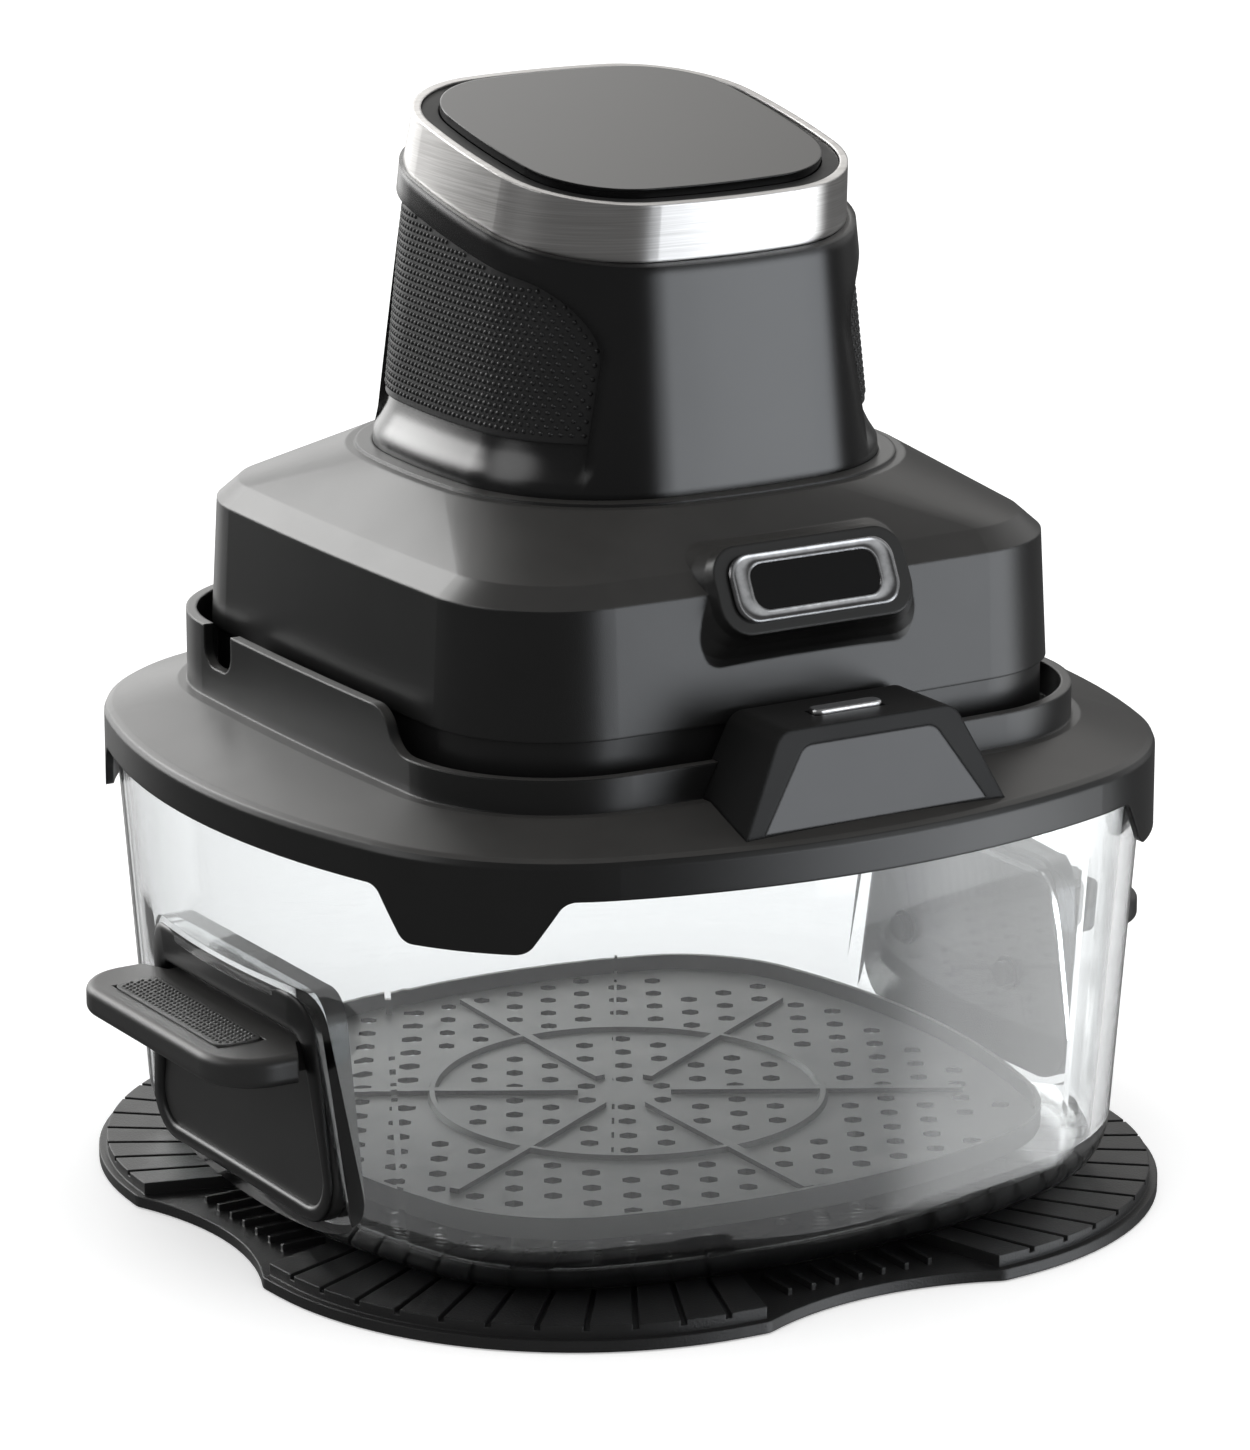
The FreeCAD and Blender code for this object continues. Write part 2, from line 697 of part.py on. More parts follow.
def build_crisper():
    row = (plate_low, "plate_half", "plate_corner", "plate_side")
    edge = outline("plate_edge", *row)
    doc.recompute()
    wire = Part.Wire(edge.Shape.Edges)
    wire.translate(Vector(0, 0, -val(plate_low)))
    limit = val("plate_half - plate_hole - 5")

    def open_place(x, y):
        ring = math.hypot(x, y)
        inside = max(abs(x), abs(y)) < limit and ring < limit * 1.12
        room = val("plate_hole + bead_half + 1")
        spokes = [math.radians(30 + 60 * k) for k in range(6)]
        clear_spokes = all(abs(y * math.cos(t) - x * math.sin(t)) > room
                           or x * math.cos(t) + y * math.sin(t) < 0 for t in spokes)
        clear_ring = abs(ring - val("bead_radius")) > room
        clear_feet = math.hypot(abs(x) - 78, abs(y) - 78) > 9 and ring > 12
        return inside and clear_ring and clear_spokes and clear_feet

    net = holed_sheet("plate_net", wire, val(plate_low), val("plate_thick"),
                      hex_spots(val("plate_pitch"), open_place), val("plate_hole"))
    lip_rows = [inset(row, "0", f"{plate_low} + plate_thick"),
                inset(row, "0", f"{plate_low} + plate_thick + plate_lip")]
    lip = cut("plate_rim", loft("lip_out", lip_rows),
              loft("lip_in", [inset(r, "1.5", r[0]) for r in lip_rows]))
    face, crest = f"{plate_low} + plate_thick", f"{plate_low} + plate_thick + bead_tall"
    bead = turned("plate_bead",
                  [("bead_radius - bead_half", face), ("bead_radius + bead_half", face),
                   ("bead_radius + bead_half * 0.5", crest), ("bead_radius - bead_half * 0.5", crest)])
    spoke = new_body("plate_spokes")
    bar = sketch_in(spoke, "plate_spoke", "XY_Plane", face)
    polygon(bar, [("spoke_from", "-bead_half"), ("spoke_to", "-bead_half"), ("spoke_to", "bead_half"),
                  ("spoke_from", "bead_half")])
    ring_of(spoke, "plate_spoke_set", pad(spoke, bar, "bead_tall"), bar, 6)
    node(fuse("crisper_plate", net, lip, bead, place(spoke, axis=Z, angle="30")), "crisper_plate")
    feet = [cylinder(f"plate_foot_{i}", "6", "foot_tall", x, y, f"{plate_low} - foot_tall")
            for i, (x, y) in enumerate((a, b) for a in ("78", "-78") for b in ("78", "-78"))]
    node(group("plate_feet", feet), "plate_feet")


# lid ring and latch

ring_row = ("tab_low", "ring_half", "ring_corner", "ring_side")
foot_row = ("foot_level", "foot_half", "foot_corner", "foot_side")
collar_in = ("foot_level - 1", "head_half + collar_gap", "head_corner + collar_gap", "head_side + collar_gap")


def scoop(turn):
    """Cuts the collar down in a double curve, front or back."""
    body = new_body(f"scoop_{turn}")
    sketch = sketch_in(body, f"scoop_{turn}_line", "YZ_Plane", "-150")
    low, high, reach, sweep = (val(f"collar_{word}") for word in ("low", "high", "reach", "sweep"))
    bend = math.acos(1 - (high - low) / (2 * sweep))
    foot = Vector(-reach - 2 * sweep * math.sin(bend), low, 0)
    crest = Vector(-reach, high, 0)
    join = (foot + crest) / 2
    far, roof, near = -150, high + 10, -reach + 10
    spots = [Vector(far, low, 0), foot, join, crest, Vector(near, high, 0), Vector(near, roof, 0),
             Vector(far, roof, 0)]
    sketch.addGeometry(Part.LineSegment(spots[0], spots[1]), False)
    rise = Part.Circle(foot + Vector(0, sweep, 0), Z, sweep)
    sketch.addGeometry(Part.ArcOfCircle(rise, -math.pi / 2, -math.pi / 2 + bend), False)
    fall = Part.Circle(crest - Vector(0, sweep, 0), Z, sweep)
    sketch.addGeometry(Part.ArcOfCircle(fall, math.pi / 2, math.pi / 2 + bend), False)
    for i in (3, 4, 5, 6):
        sketch.addGeometry(Part.LineSegment(spots[i], spots[(i + 1) % 7]), False)
    for one, end, two, start in ((0, 2, 1, 1), (1, 2, 2, 2), (2, 1, 3, 1)):
        sketch.addConstraint(Sketcher.Constraint("Tangent", one, end, two, start))
    for one, two in ((3, 4), (4, 5), (5, 6), (6, 0)):
        sketch.addConstraint(Sketcher.Constraint("Coincident", one, 2, two, 1))
    for line, way in ((0, "Horizontal"), (3, "Horizontal"), (4, "Vertical"), (5, "Horizontal"),
                      (6, "Vertical")):
        sketch.addConstraint(Sketcher.Constraint(way, line))
    sketch.addConstraint(Sketcher.Constraint("Equal", 1, 2))
    fix(sketch, "Radius", (1,), "collar_sweep")
    fix(sketch, "DistanceY", (-1, 1, 0, 1), "collar_low")
    fix(sketch, "DistanceY", (-1, 1, 3, 1), "collar_high")
    fix(sketch, "DistanceX", (-1, 1, 2, 1), "-collar_reach")
    fix(sketch, "DistanceX", (-1, 1, 3, 2), "10 - collar_reach")
    fix(sketch, "DistanceX", (-1, 1, 0, 1), "-150")
    fix(sketch, "DistanceY", (-1, 1, 5, 1), "collar_high + 10")
    pad(body, sketch, "300")
    return place(body, axis=Z, angle=turn)


def collar_slot():
    """Round-bottomed notch through both sides of the collar, behind the raised lengths."""
    body = prism("collar_slot", "YZ_Plane",
                 rect("collar_reach + slot_wide / 2", "collar_low + 20", "slot_wide", "40"), "-150", "300")
    foot = val("collar_low") + 0.01
    soften(body, "collar_slot_round", "slot_round", lambda edge: along(edge, X) and middle(edge).z < foot)
    return body


def latch_form(name, margin, start, length):
    """Trapezium block along Y; the margin draws its sides in."""
    return prism(name, "XZ_Plane",
                 [(f"-(latch_low_half - {margin})", f"latch_low + {margin} * 0.5"),
                  (f"latch_low_half - {margin}", f"latch_low + {margin} * 0.5"),
                  (f"latch_high_half - {margin} * 0.9", f"latch_top - {margin} * 0.6"),
                  (f"-(latch_high_half - {margin} * 0.9)", f"latch_top - {margin} * 0.6")], start, length)


def lean_block(name, depth, length):
    """Slab along X whose near face is the latch's sloped front, moved back by the depth."""
    run = "latch_lean * (latch_top - latch_low + 10)"
    return prism(name, "YZ_Plane",
                 [(f"{depth} - latch_front", "latch_low"), (f"{depth} - latch_front - {length}", "latch_low"),
                  (f"{depth} - latch_front - {length}", "latch_top + 10"),
                  (f"{depth} - latch_front + {run}", "latch_top + 10")], "-100", "200")


def build_lid():
    outer = loft("ring_out", [ring_row, inset(ring_row, "0", "skirt_high - edge_round"),
                              inset(ring_row, "edge_round * 0.3", "skirt_high - edge_round * 0.3"),
                              inset(ring_row, "edge_round", "skirt_high + edge_round * 0.1"), foot_row])
    inner = loft("ring_in", [inset(ring_row, "skirt_wall", "tab_low - 1"),
                             inset(ring_row, "skirt_wall", "skirt_high - ring_plate"),
                             inset(foot_row, "0", "foot_level - ring_plate")])
    mouth = cylinder("ring_mouth", "ring_mouth", "60", z="foot_level - 50")
    gaps = []
    for turn, open_half in (("0", "tab_front"), ("90", "tab_flank")):
        foot = f"{open_half} + tab_lean"
        gap = prism(f"skirt_gap_{turn}", "XZ_Plane",
                    [(f"-({foot} + 8)", "tab_low - 3"), (f"{foot} + 8", "tab_low - 3"),
                     (f"{foot} + 8", "tab_low"), (foot, "tab_low"), (open_half, "skirt_low"),
                     (f"-{open_half}", "skirt_low"), (f"-({foot})", "tab_low"),
                     (f"-({foot} + 8)", "tab_low")], "-200", "400")
        ends = val(foot)
        soften(gap, f"skirt_gap_{turn}_foot", "tab_round",
               lambda edge: along(edge, Y) and abs(abs(middle(edge).x) - ends) < 0.01)
        soften(gap, f"skirt_gap_{turn}_round", "5",
               lambda edge: along(edge, Y) and middle(edge).z > val("skirt_low") - 1)
        gaps.append(place(gap, axis=Z, angle=turn))
    collar_out = inset(collar_in, "-collar_wall", "foot_level")
    wall = cut("collar", loft("collar_out", [collar_out, inset(collar_out, "0", "collar_high")]),
               loft("collar_in", [collar_in, inset(collar_in, "0", "collar_high + 1")]), scoop("0"),
               collar_slot())
    block = latch_form("latch_block", "0", "head_half + collar_gap - 1",
                       "latch_front - head_half - collar_gap + 1")
    soften(block, "latch_block_round", "6",
           lambda edge: along(edge, Y) and middle(edge).z > val("latch_top") - 1)
    collar = cut("collar_notched", wall, block)
    holes = [cylinder(f"latch_hole_{i}", "latch_screw + screw_gap", "30", f"{sign}latch_screw_x",
                      "-latch_screw_y", "latch_low - 5") for i, sign in enumerate(("", "-"))]
    plate = cut("ring_plate", outer, inner, mouth, *gaps)
    node(cut("lid_ring", fuse("ring_whole", plate, collar), *holes), "lid_ring")
    seal_row = inset(rim_row, "0.4", "bowl_rim + rest_gap")
    seal_top = inset(seal_row, "0", "skirt_high - ring_plate - 0.1")
    node(cut("ring_seal", loft("seal_out", [seal_row, seal_top]),
             loft("seal_in", [inset(seal_row, "seal_wide"), inset(seal_top, "seal_wide")])), "ring_seal")
    return outer, block


def build_latch(outer, block):
    skin = cut("panel_slab", lean_block("panel_back", "latch_panel", "30"),
               lean_block("panel_face", "0", "40"))
    form = latch_form("panel_form", "latch_frame", "latch_front - 20", "30")
    half_way = val("(latch_low + latch_top) / 2")
    soften(form, "panel_form_round", "5", lambda edge: along(edge, Y) and middle(edge).z > half_way)
    flat = common("panel_flat", form, skin)
    panel = cut("latch_panel", flat, outer)
    node(panel, "latch_panel")
    space = box("latch_space", "30", "latch_room", "latch_top - latch_wall - latch_low", "0", "-button_y",
                "latch_low")
    slot = box("tongue_slot", "2 * tongue_half + 2", "14", "17", "0", "-(head_half + collar_gap + 2)",
               "foot_level - 1")
    hole = box("button_hole", "button_long + 2 * slide_gap", "button_wide + 2 * slide_gap", "20", "0",
               "-button_y", "latch_top - 15")
    screws = [cylinder(f"latch_thread_{i}", "latch_screw + screw_gap / 2", "16", f"{sign}latch_screw_x",
                       "-latch_screw_y", "latch_low + 2.5") for i, sign in enumerate(("", "-"))]
    node(cut("latch_housing", block, lean_block("latch_slope", "0", "40"), panel, space, slot, hole, outer,
             *screws), "latch_housing")
    pins = []
    for i, sign in enumerate(("", "-")):
        spot = (f"{sign}latch_screw_x", "-latch_screw_y")
        shank = cylinder(f"latch_shank_{i}", "latch_screw", "15", *spot, "latch_low + 2.1")
        pins.append(fuse(f"latch_screw_{i}", shank,
                         cylinder(f"latch_cap_{i}", "3", "2", *spot, "latch_low + 0.1")))
    node(group("latch_screws", pins), "latch_screws")
    wall = "(head_half + collar_gap)"
    leaf = [(f"-{wall} - 7.7", "foot_level"), (f"-{wall} + 2.6", "foot_level"),
            (f"-{wall} + 2.6", "foot_level + tongue_thick"), (f"-{wall} - 4.4", "foot_level + tongue_thick"),
            (f"-{wall} - 4.4", "foot_level + 9"), (f"-{wall} + 7", "foot_level + 9"),
            (f"-{wall} + 7", "foot_level + 10.5"), (f"-{wall} - 4.4", "foot_level + 12.5"),
            (f"-{wall} - 4.4", "foot_level + 15.7"), (f"-{wall} - 16", "foot_level + 15.7"),
            (f"-{wall} - 16", "foot_level + 15.7 - tongue_thick"),
            (f"-{wall} - 4.4 - tongue_thick", "foot_level + 15.7 - tongue_thick"),
            (f"-{wall} - 4.4 - tongue_thick", "foot_level + tongue_thick"),
            (f"-{wall} - 7.7", "foot_level + tongue_thick")]
    node(prism("latch_tongue", "YZ_Plane", leaf, "-tongue_half", "2 * tongue_half"), "latch_tongue")
    button = new_body("release_button")
    flange_low = "latch_top - latch_wall - slide_gap - button_flange"
    flange = sketch_in(button, "button_foot", "XY_Plane", flange_low)
    polygon(flange, rect("0", "-button_y", "button_long + 4", "button_wide + 3"))
    pad(button, flange, "button_flange")
    cap = sketch_in(button, "button_cap", "XY_Plane", flange_low)
    polygon(cap, rect("0", "-button_y", "button_long", "button_wide"))
    pad(button, cap, "latch_wall + slide_gap + button_flange + button_proud")
    top = val("latch_top + button_proud")
    soften(button, "button_ends", "2.4",
           lambda edge: along(edge, Z) and middle(edge).z > val("latch_top - latch_wall"))
    soften(button, "button_edge", "0.6", lambda edge: all(abs(v.Z - top) < 0.01 for v in edge.Vertexes))
    node(button, "release_button")


# head

shell_row = ("seam_level", "head_half", "head_corner", "head_side")
shoulder_row = inset(shell_row, "shoulder_inset", "shoulder_low")
crest_row = inset(shoulder_row, "shoulder_step", "shoulder_high")
tower_row = ("roof_level", "tower_half", "tower_corner", "tower_side")
roof_row = inset(tower_row, "-(step_wide + roof_rim)")
step_row = inset(tower_row, "-step_wide", "roof_level - 1")
tower_end = inset(tower_row, "tower_draft * (tower_top + 30 - roof_level)", "tower_top + 30")
corners = [(a, b) for a in ("", "-") for b in ("", "-")]


def build_head_base():
    band = inset(shell_row, "base_inset", base_low)
    outer = loft("base_out", [band, inset(band, "0", "seam_level")])
    inner = loft("base_in", [inset(band, "head_wall", floor_top), inset(band, "head_wall", "seam_level + 1")])
    mouth = cylinder("base_mouth", "guard_mouth", "40", z="foot_level - 20")
    catch = box("catch_slot", "2 * tongue_half + 3", "14", "6", "0", "-head_half", "foot_level + 7.5")
    holes = []
    for i, (a, b) in enumerate(corners):
        holes.append(cylinder(f"base_hole_{i}", "base_screw + screw_gap", "20", f"{a}boss_x", f"{b}boss_x",
                              base_low))
        holes.append(cylinder(f"base_sink_{i}", "4.2", "2.2", f"{a}boss_x", f"{b}boss_x",
                              f"{base_low} - 0.1"))
    node(cut("head_base", outer, inner, mouth, catch, *holes), "head_base")
    pins = []
    for i, (a, b) in enumerate(corners):
        shank = cylinder(f"base_shank_{i}", "base_screw", "14", f"{a}boss_x", f"{b}boss_x", f"{base_low} + 2")
        cap = cylinder(f"base_cap_{i}", "4", "1.8", f"{a}boss_x", f"{b}boss_x", f"{base_low} + 0.2")
        pins.append(fuse(f"base_screw_{i}", shank, cap))
    node(group("housing_screws", pins), "housing_screws")


def tilt_badge(thing):
    return place(thing, "0", "-badge_y", "badge_z", X, "badge_tilt")


def build_housing():
    outer = loft("housing_out", [shell_row, shoulder_row, crest_row, roof_row])
    block = new_body("badge_boss")
    # hollow flare: rows of (depth, spread) shares
    rows = [pill(f"boss_row_{i}", f"-boss_deep * {deep}", f"boss_wide + 2 * boss_flare * {spread}",
                 f"boss_tall + boss_flare * {spread}", f"boss_round + boss_flare * {spread} / 2", block)
            for i, (deep, spread) in enumerate(((0, 0), (0.25, 0.08), (0.5, 0.28), (0.75, 0.58), (1, 1)))]
    flare = block.newObject("PartDesign::AdditiveLoft", "boss_loft")
    flare.Profile, flare.Sections, flare.Ruled = rows[0], rows[1:], True
    block.Tip = flare
    step = loft("tower_step", [step_row, inset(step_row, "0", "roof_level + step_tall")])
    inner = loft("housing_in", [inset(shell_row, "head_wall", "seam_level - 1"),
                                inset(shoulder_row, "head_wall", "shoulder_low - head_wall * 0.4"),
                                inset(crest_row, "head_wall", "shoulder_high - head_wall * 0.9"),
                                inset(roof_row, "head_wall", "roof_level - head_wall")])
    way = inset(tower_row, "tower_wall + 3", "roof_level - 9")
    hole = loft("tower_way", [way, inset(way, "0", "roof_level + 2")])
    foot = loft("tower_foot", [inset(tower_row, "0"), inset(tower_row, "0", "roof_level + 2")])
    shell = cut("housing_shell", fuse("housing_solid", outer, tilt_badge(block), step), inner, hole, foot)
    posts = [common(f"post_{i}", outer,
                    cylinder(f"post_rod_{i}", "boss_radius", "roof_level - seam_level", f"{a}boss_x",
                             f"{b}boss_x", "seam_level")) for i, (a, b) in enumerate(corners)]
    stubs = [cylinder(f"post_foot_{i}", "boss_radius", f"seam_level - {floor_top}", f"{a}boss_x",
                      f"{b}boss_x", floor_top) for i, (a, b) in enumerate(corners)]
    threads = [cylinder(f"thread_{i}", "base_screw + screw_gap / 2", "20", f"{a}boss_x", f"{b}boss_x",
                        floor_top) for i, (a, b) in enumerate(corners)]
    gland = cylinder("gland_way", "gland_radius + screw_gap", "30", "0", "head_half + 10", "gland_z", X, "90")
    node(cut("head_housing", fuse("housing_posts", shell, *posts, *stubs), *threads, gland), "head_housing")
    plate = slab("badge_outer", rect("0", "0", "badge_wide", "badge_tall"), "0", "badge_deep", "badge_round")
    window = slab("badge_window", rect("0", "0", "badge_wide - 2 * badge_rim", "badge_tall - 2 * badge_rim"),
                  "-1", "5", "badge_round - badge_rim")
    frame = cut("badge_frame", tilt_badge(plate), tilt_badge(window))
    node(frame, "badge_frame")
    rim = "2 * (badge_rim + screw_gap)"
    inlay = slab("badge_plate", rect("0", "0", f"badge_wide - {rim}", f"badge_tall - {rim}"), "0",
                 "badge_deep - 0.5", "badge_round - badge_rim - screw_gap")
    node(tilt_badge(inlay), "badge_plate")


def grip_form(name, side, margin, foot):
    """Patch on one side of the tower, seen along X; its top runs with the leaning tower top."""
    front, rear = f"(grip_front - {margin})", f"(grip_back - {margin})"
    top = f"tower_top - grip_top - {margin}"
    slope = math.tan(math.radians(val("tower_lean")))
    body = prism(name, "YZ_Plane",
                 [(f"-{front}", foot), (rear, foot), (rear, f"{top} + {rear} * tan(tower_lean * 1 deg)"),
                  (f"-{front}", f"{top} - {front} * tan(tower_lean * 1 deg)")], "grip_inner", "90")
    crest = val(f"{top} - {front} * {slope}")
    soften(body, name + "_crest", f"grip_round - {margin}",
           lambda edge: along(edge, X) and abs(middle(edge).z - crest) < 0.1)
    soften(body, name + "_ends", f"5 - {margin}", lambda edge: along(edge, X) and middle(edge).y > 0)
    return place(body, axis=Z, angle="0") if side == "right" else mirrored(name, body)


def mirrored(name, thing):
    other = doc.addObject("Part::Mirroring", name + "_left")
    other.Source = thing
    other.Normal = X
    return other


def tower_skin(name, depth):
    """The tower's outer form, drawn in by a depth."""
    return loft(name, [inset(tower_row, depth, "roof_level - 1"), inset(tower_end, depth, "tower_top + 31")])


def build_tower():
    outer = loft("tower_out", [tower_row, tower_end])
    bed = tower_skin("grip_bed", "grip_deep")
    top = prism("tower_slice", "XY_Plane", rect("0", "0", "240", "240"), "0", "90")
    place(top, z="tower_top", axis=X, angle="tower_lean")
    # the recess runs out at its foot in a hollow curve
    foot = "roof_level + grip_foot"
    shares = ((0, 0), (0.3, 0.45), (0.62, 0.8), (1, 1))
    ramp = loft("grip_ramp",
                [inset(tower_row, f"tower_draft * (grip_foot + grip_sweep * {rise}) + grip_deep * {deep}",
                       f"{foot} + grip_sweep * {rise}") for rise, deep in shares])
    sides = ("left", "right")
    recesses = [cut(f"grip_recess_{side}", grip_form(f"grip_patch_{side}", side, "0", foot), bed, ramp)
                for side in sides]
    walls = [grip_form(f"grip_wall_{side}", side, "-tower_wall", f"{foot} - tower_wall") for side in sides]
    room = cut("tower_room", tower_skin("tower_in", "tower_wall"), *walls)
    deep_room = tower_skin("tower_deep_in", "grip_deep + tower_wall")
    node(cut("tower_shell", outer, room, deep_room, top, *recesses), "tower_shell")
    skin = tower_skin("grip_skin", "grip_deep - grip_skin")
    for side in sides:
        label = side + "_grip_panel"
        form = grip_form(label + "_form", side, "screw_gap * 3", f"{foot} + grip_sweep + screw_gap")
        node(cut(label, common(label + "_skin", form, skin), bed), label)


def tilt_top(thing):
    return place(thing, z="tower_top", axis=X, angle="tower_lean")


def build_controls():
    drop = "tower_draft * (tower_top - roof_level) + band_inset"
    row = inset(tower_row, drop, "0")
    top = inset(row, "band_taper", "band_tall")
    band = new_body("steel_band")
    blend(band, "band_out", [row, top])
    blend(band, "band_in", [inset(row, "band_wall", "-0.5"), inset(top, "band_wall", "band_tall + 0.5")],
          hollow=True)
    node(tilt_top(band), "steel_band")
    tray_row = inset(top, "band_wall + screw_gap", "0")
    tray = new_body("panel_bezel")
    blend(tray, "tray_out", [tray_row, inset(tray_row, "0", "band_tall - 0.8")])
    seat = "band_tall + panel_proud - panel_thick"
    panel_row = inset(tray_row, "bezel_rim", seat)
    way = inset(panel_row, "-slide_gap")
    blend(tray, "tray_seat", [way, inset(way, "0", "band_tall + 3")], hollow=True)
    blend(tray, "tray_space", [inset(panel_row, "4", "3"), inset(panel_row, "4", "band_tall + 2")],
          hollow=True)
    wires = sketch_in(tray, "tray_wires", "XY_Plane", "5")
    circle(wires, "0", "0", "14")
    pocket(tray, wires, "10")
    node(tilt_top(tray), "panel_bezel")
    glass = new_body("touch_panel")
    pad(glass, outline("touch_edge", *panel_row, body=glass), "panel_thick")
    node(tilt_top(glass), "touch_panel")
    board = new_body("control_board")
    lying = sketch_in(board, "board_edge", "XY_Plane", f"{seat} - 2 - board_thick")
    polygon(lying, rect("0", "0", "66", "66"))
    pad(board, lying, "board_thick")
    props = sketch_in(board, "board_props", "XY_Plane", "3")
    for a, b in corners:
        circle(props, f"{a}28", f"{b}28", "2.5")
    pad(board, props, f"{seat} - 5")
    node(tilt_top(board), "control_board")


# hot air drive

leg_turns = (10, -5)


def build_dish():
    body = turned("heat_reflector",
                  [("dish_radius - dish_thick", dish_low), ("dish_radius + 4", dish_low),
                   ("dish_radius + 4", f"{dish_low} + dish_thick"),
                   ("dish_radius", f"{dish_low} + dish_thick"), ("dish_radius", "dish_top"),
                   ("hub_radius", "dish_top"), ("hub_radius", "dish_top - dish_thick"),
                   ("dish_radius - dish_thick", "dish_top - dish_thick")])
    ways = sketch_in(body, "dish_ways", "XY_Plane", "dish_top")
    for turn in leg_turns:
        circle(ways, f"coil_outer * {math.cos(math.radians(turn)):.6f}",
               f"coil_outer * {math.sin(math.radians(turn)):.6f}", "coil_tube + slide_gap")
    circle(ways, "0", "78", "2.6")
    pocket(body, ways, "dish_thick + 1")
    node(body, "heat_reflector")


def build_guard():
    keep = val("guard_mouth - 5")
    wire = Part.Wire(Part.makeCircle(val("guard_radius")))
    spots = hex_spots(14, lambda x, y: math.hypot(x, y) < keep)
    node(holed_sheet("heater_guard", wire, val(floor_top), val("guard_thick"), spots,
                     7 - val("guard_wire") / 2), "heater_guard")


def build_heater():
    far, near, level = val("coil_outer"), val("coil_inner"), val("coil_level")
    top = val("dish_top") + 8

    def spot(radius, turn, height=level):
        return Vector(radius * math.cos(math.radians(turn)), radius * math.sin(math.radians(turn)), height)

    first, last = leg_turns
    edges = [Part.makeLine(spot(far, first, top), spot(far, first)),
             Part.Arc(spot(far, first), spot(far, 175), spot(far, 340)).toShape(),
             Part.makeLine(spot(far, 340), spot(near, 340)),
             Part.Arc(spot(near, 340), spot(near, 165), spot(near, last)).toShape(),
             Part.makeLine(spot(near, last), spot(far, last)),
             Part.makeLine(spot(far, last), spot(far, last, top))]
    radius = val("coil_tube")
    runs = []
    for edge in edges:
        start = edge.valueAt(edge.FirstParameter)
        ring = Part.Wire(Part.makeCircle(radius, start, edge.tangentAt(edge.FirstParameter)))
        runs.append(Part.Wire([edge]).makePipeShell([ring], True, True))
    # a ball at every bend joins the runs into one tube
    bends = [Part.makeSphere(radius, edge.valueAt(edge.FirstParameter)) for edge in edges[1:]]
    tube = doc.addObject("Part::Feature", "heating_element")
    tube.Shape = runs[0].multiFuse(runs[1:] + bends)
    node(tube, "heating_element")


def blades(body, name, count, inner, outer, thick, level, tall):
    blade = sketch_in(body, name, "XY_Plane", level)
    polygon(blade,
            [(inner, f"-{thick} / 2"), (outer, f"{thick} / 2 + 6"), (outer, f"{thick} * 1.5 + 6"),
             (inner, f"{thick} / 2")])
    step = pad(body, blade, tall)
    ring = body.newObject("PartDesign::PolarPattern", name + "_ring")
    ring.Originals = [step]
    ring.Axis = (blade, ["N_Axis"])
    ring.Angle = 360
    ring.Occurrences = count
    body.Tip = ring


def build_rotor():
    low = "(fan_low - 9)"
    node(cylinder("motor_shaft", "shaft_radius", f"shaft_top - {low}", z=low), "motor_shaft")
    fan = turned("convection_fan",
                 [("shaft_radius", "fan_low"), ("hub_radius - 1", "fan_low"),
                  ("hub_radius - 1", "fan_low + fan_tall - fan_plate"),
                  ("fan_radius", "fan_low + fan_tall - fan_plate"), ("fan_radius", "fan_low + fan_tall"),
                  ("shaft_radius", "fan_low + fan_tall")])
    blades(fan, "fan_blade", 12, "26", "fan_radius - 3", "1.4", "fan_low", "fan_tall")
    node(fan, "convection_fan")
    nut = doc.addObject("Part::Prism", "nut_form")
    nut.Polygon = 6
    bind(nut, "Circumradius", "hub_radius - 1.5")
    bind(nut, "Height", "5")
    place(nut, z="fan_low - 5")
    node(cut("fan_nut", nut, cylinder("nut_way", "shaft_radius", "20", z="fan_low - 15")), "fan_nut")
    cooler = turned("cooling_fan",
                    [("shaft_radius", cooler_low), ("cooler_radius", cooler_low),
                     ("cooler_radius", f"{cooler_low} + fan_plate"),
                     ("hub_radius", f"{cooler_low} + fan_plate"),
                     ("hub_radius", f"{cooler_low} + cooler_tall"),
                     ("shaft_radius", f"{cooler_low} + cooler_tall")])
    blades(cooler, "cooler_blade", 9, "20", "cooler_radius - 2", "1.4", cooler_low, "cooler_tall")
    node(cooler, "cooling_fan")


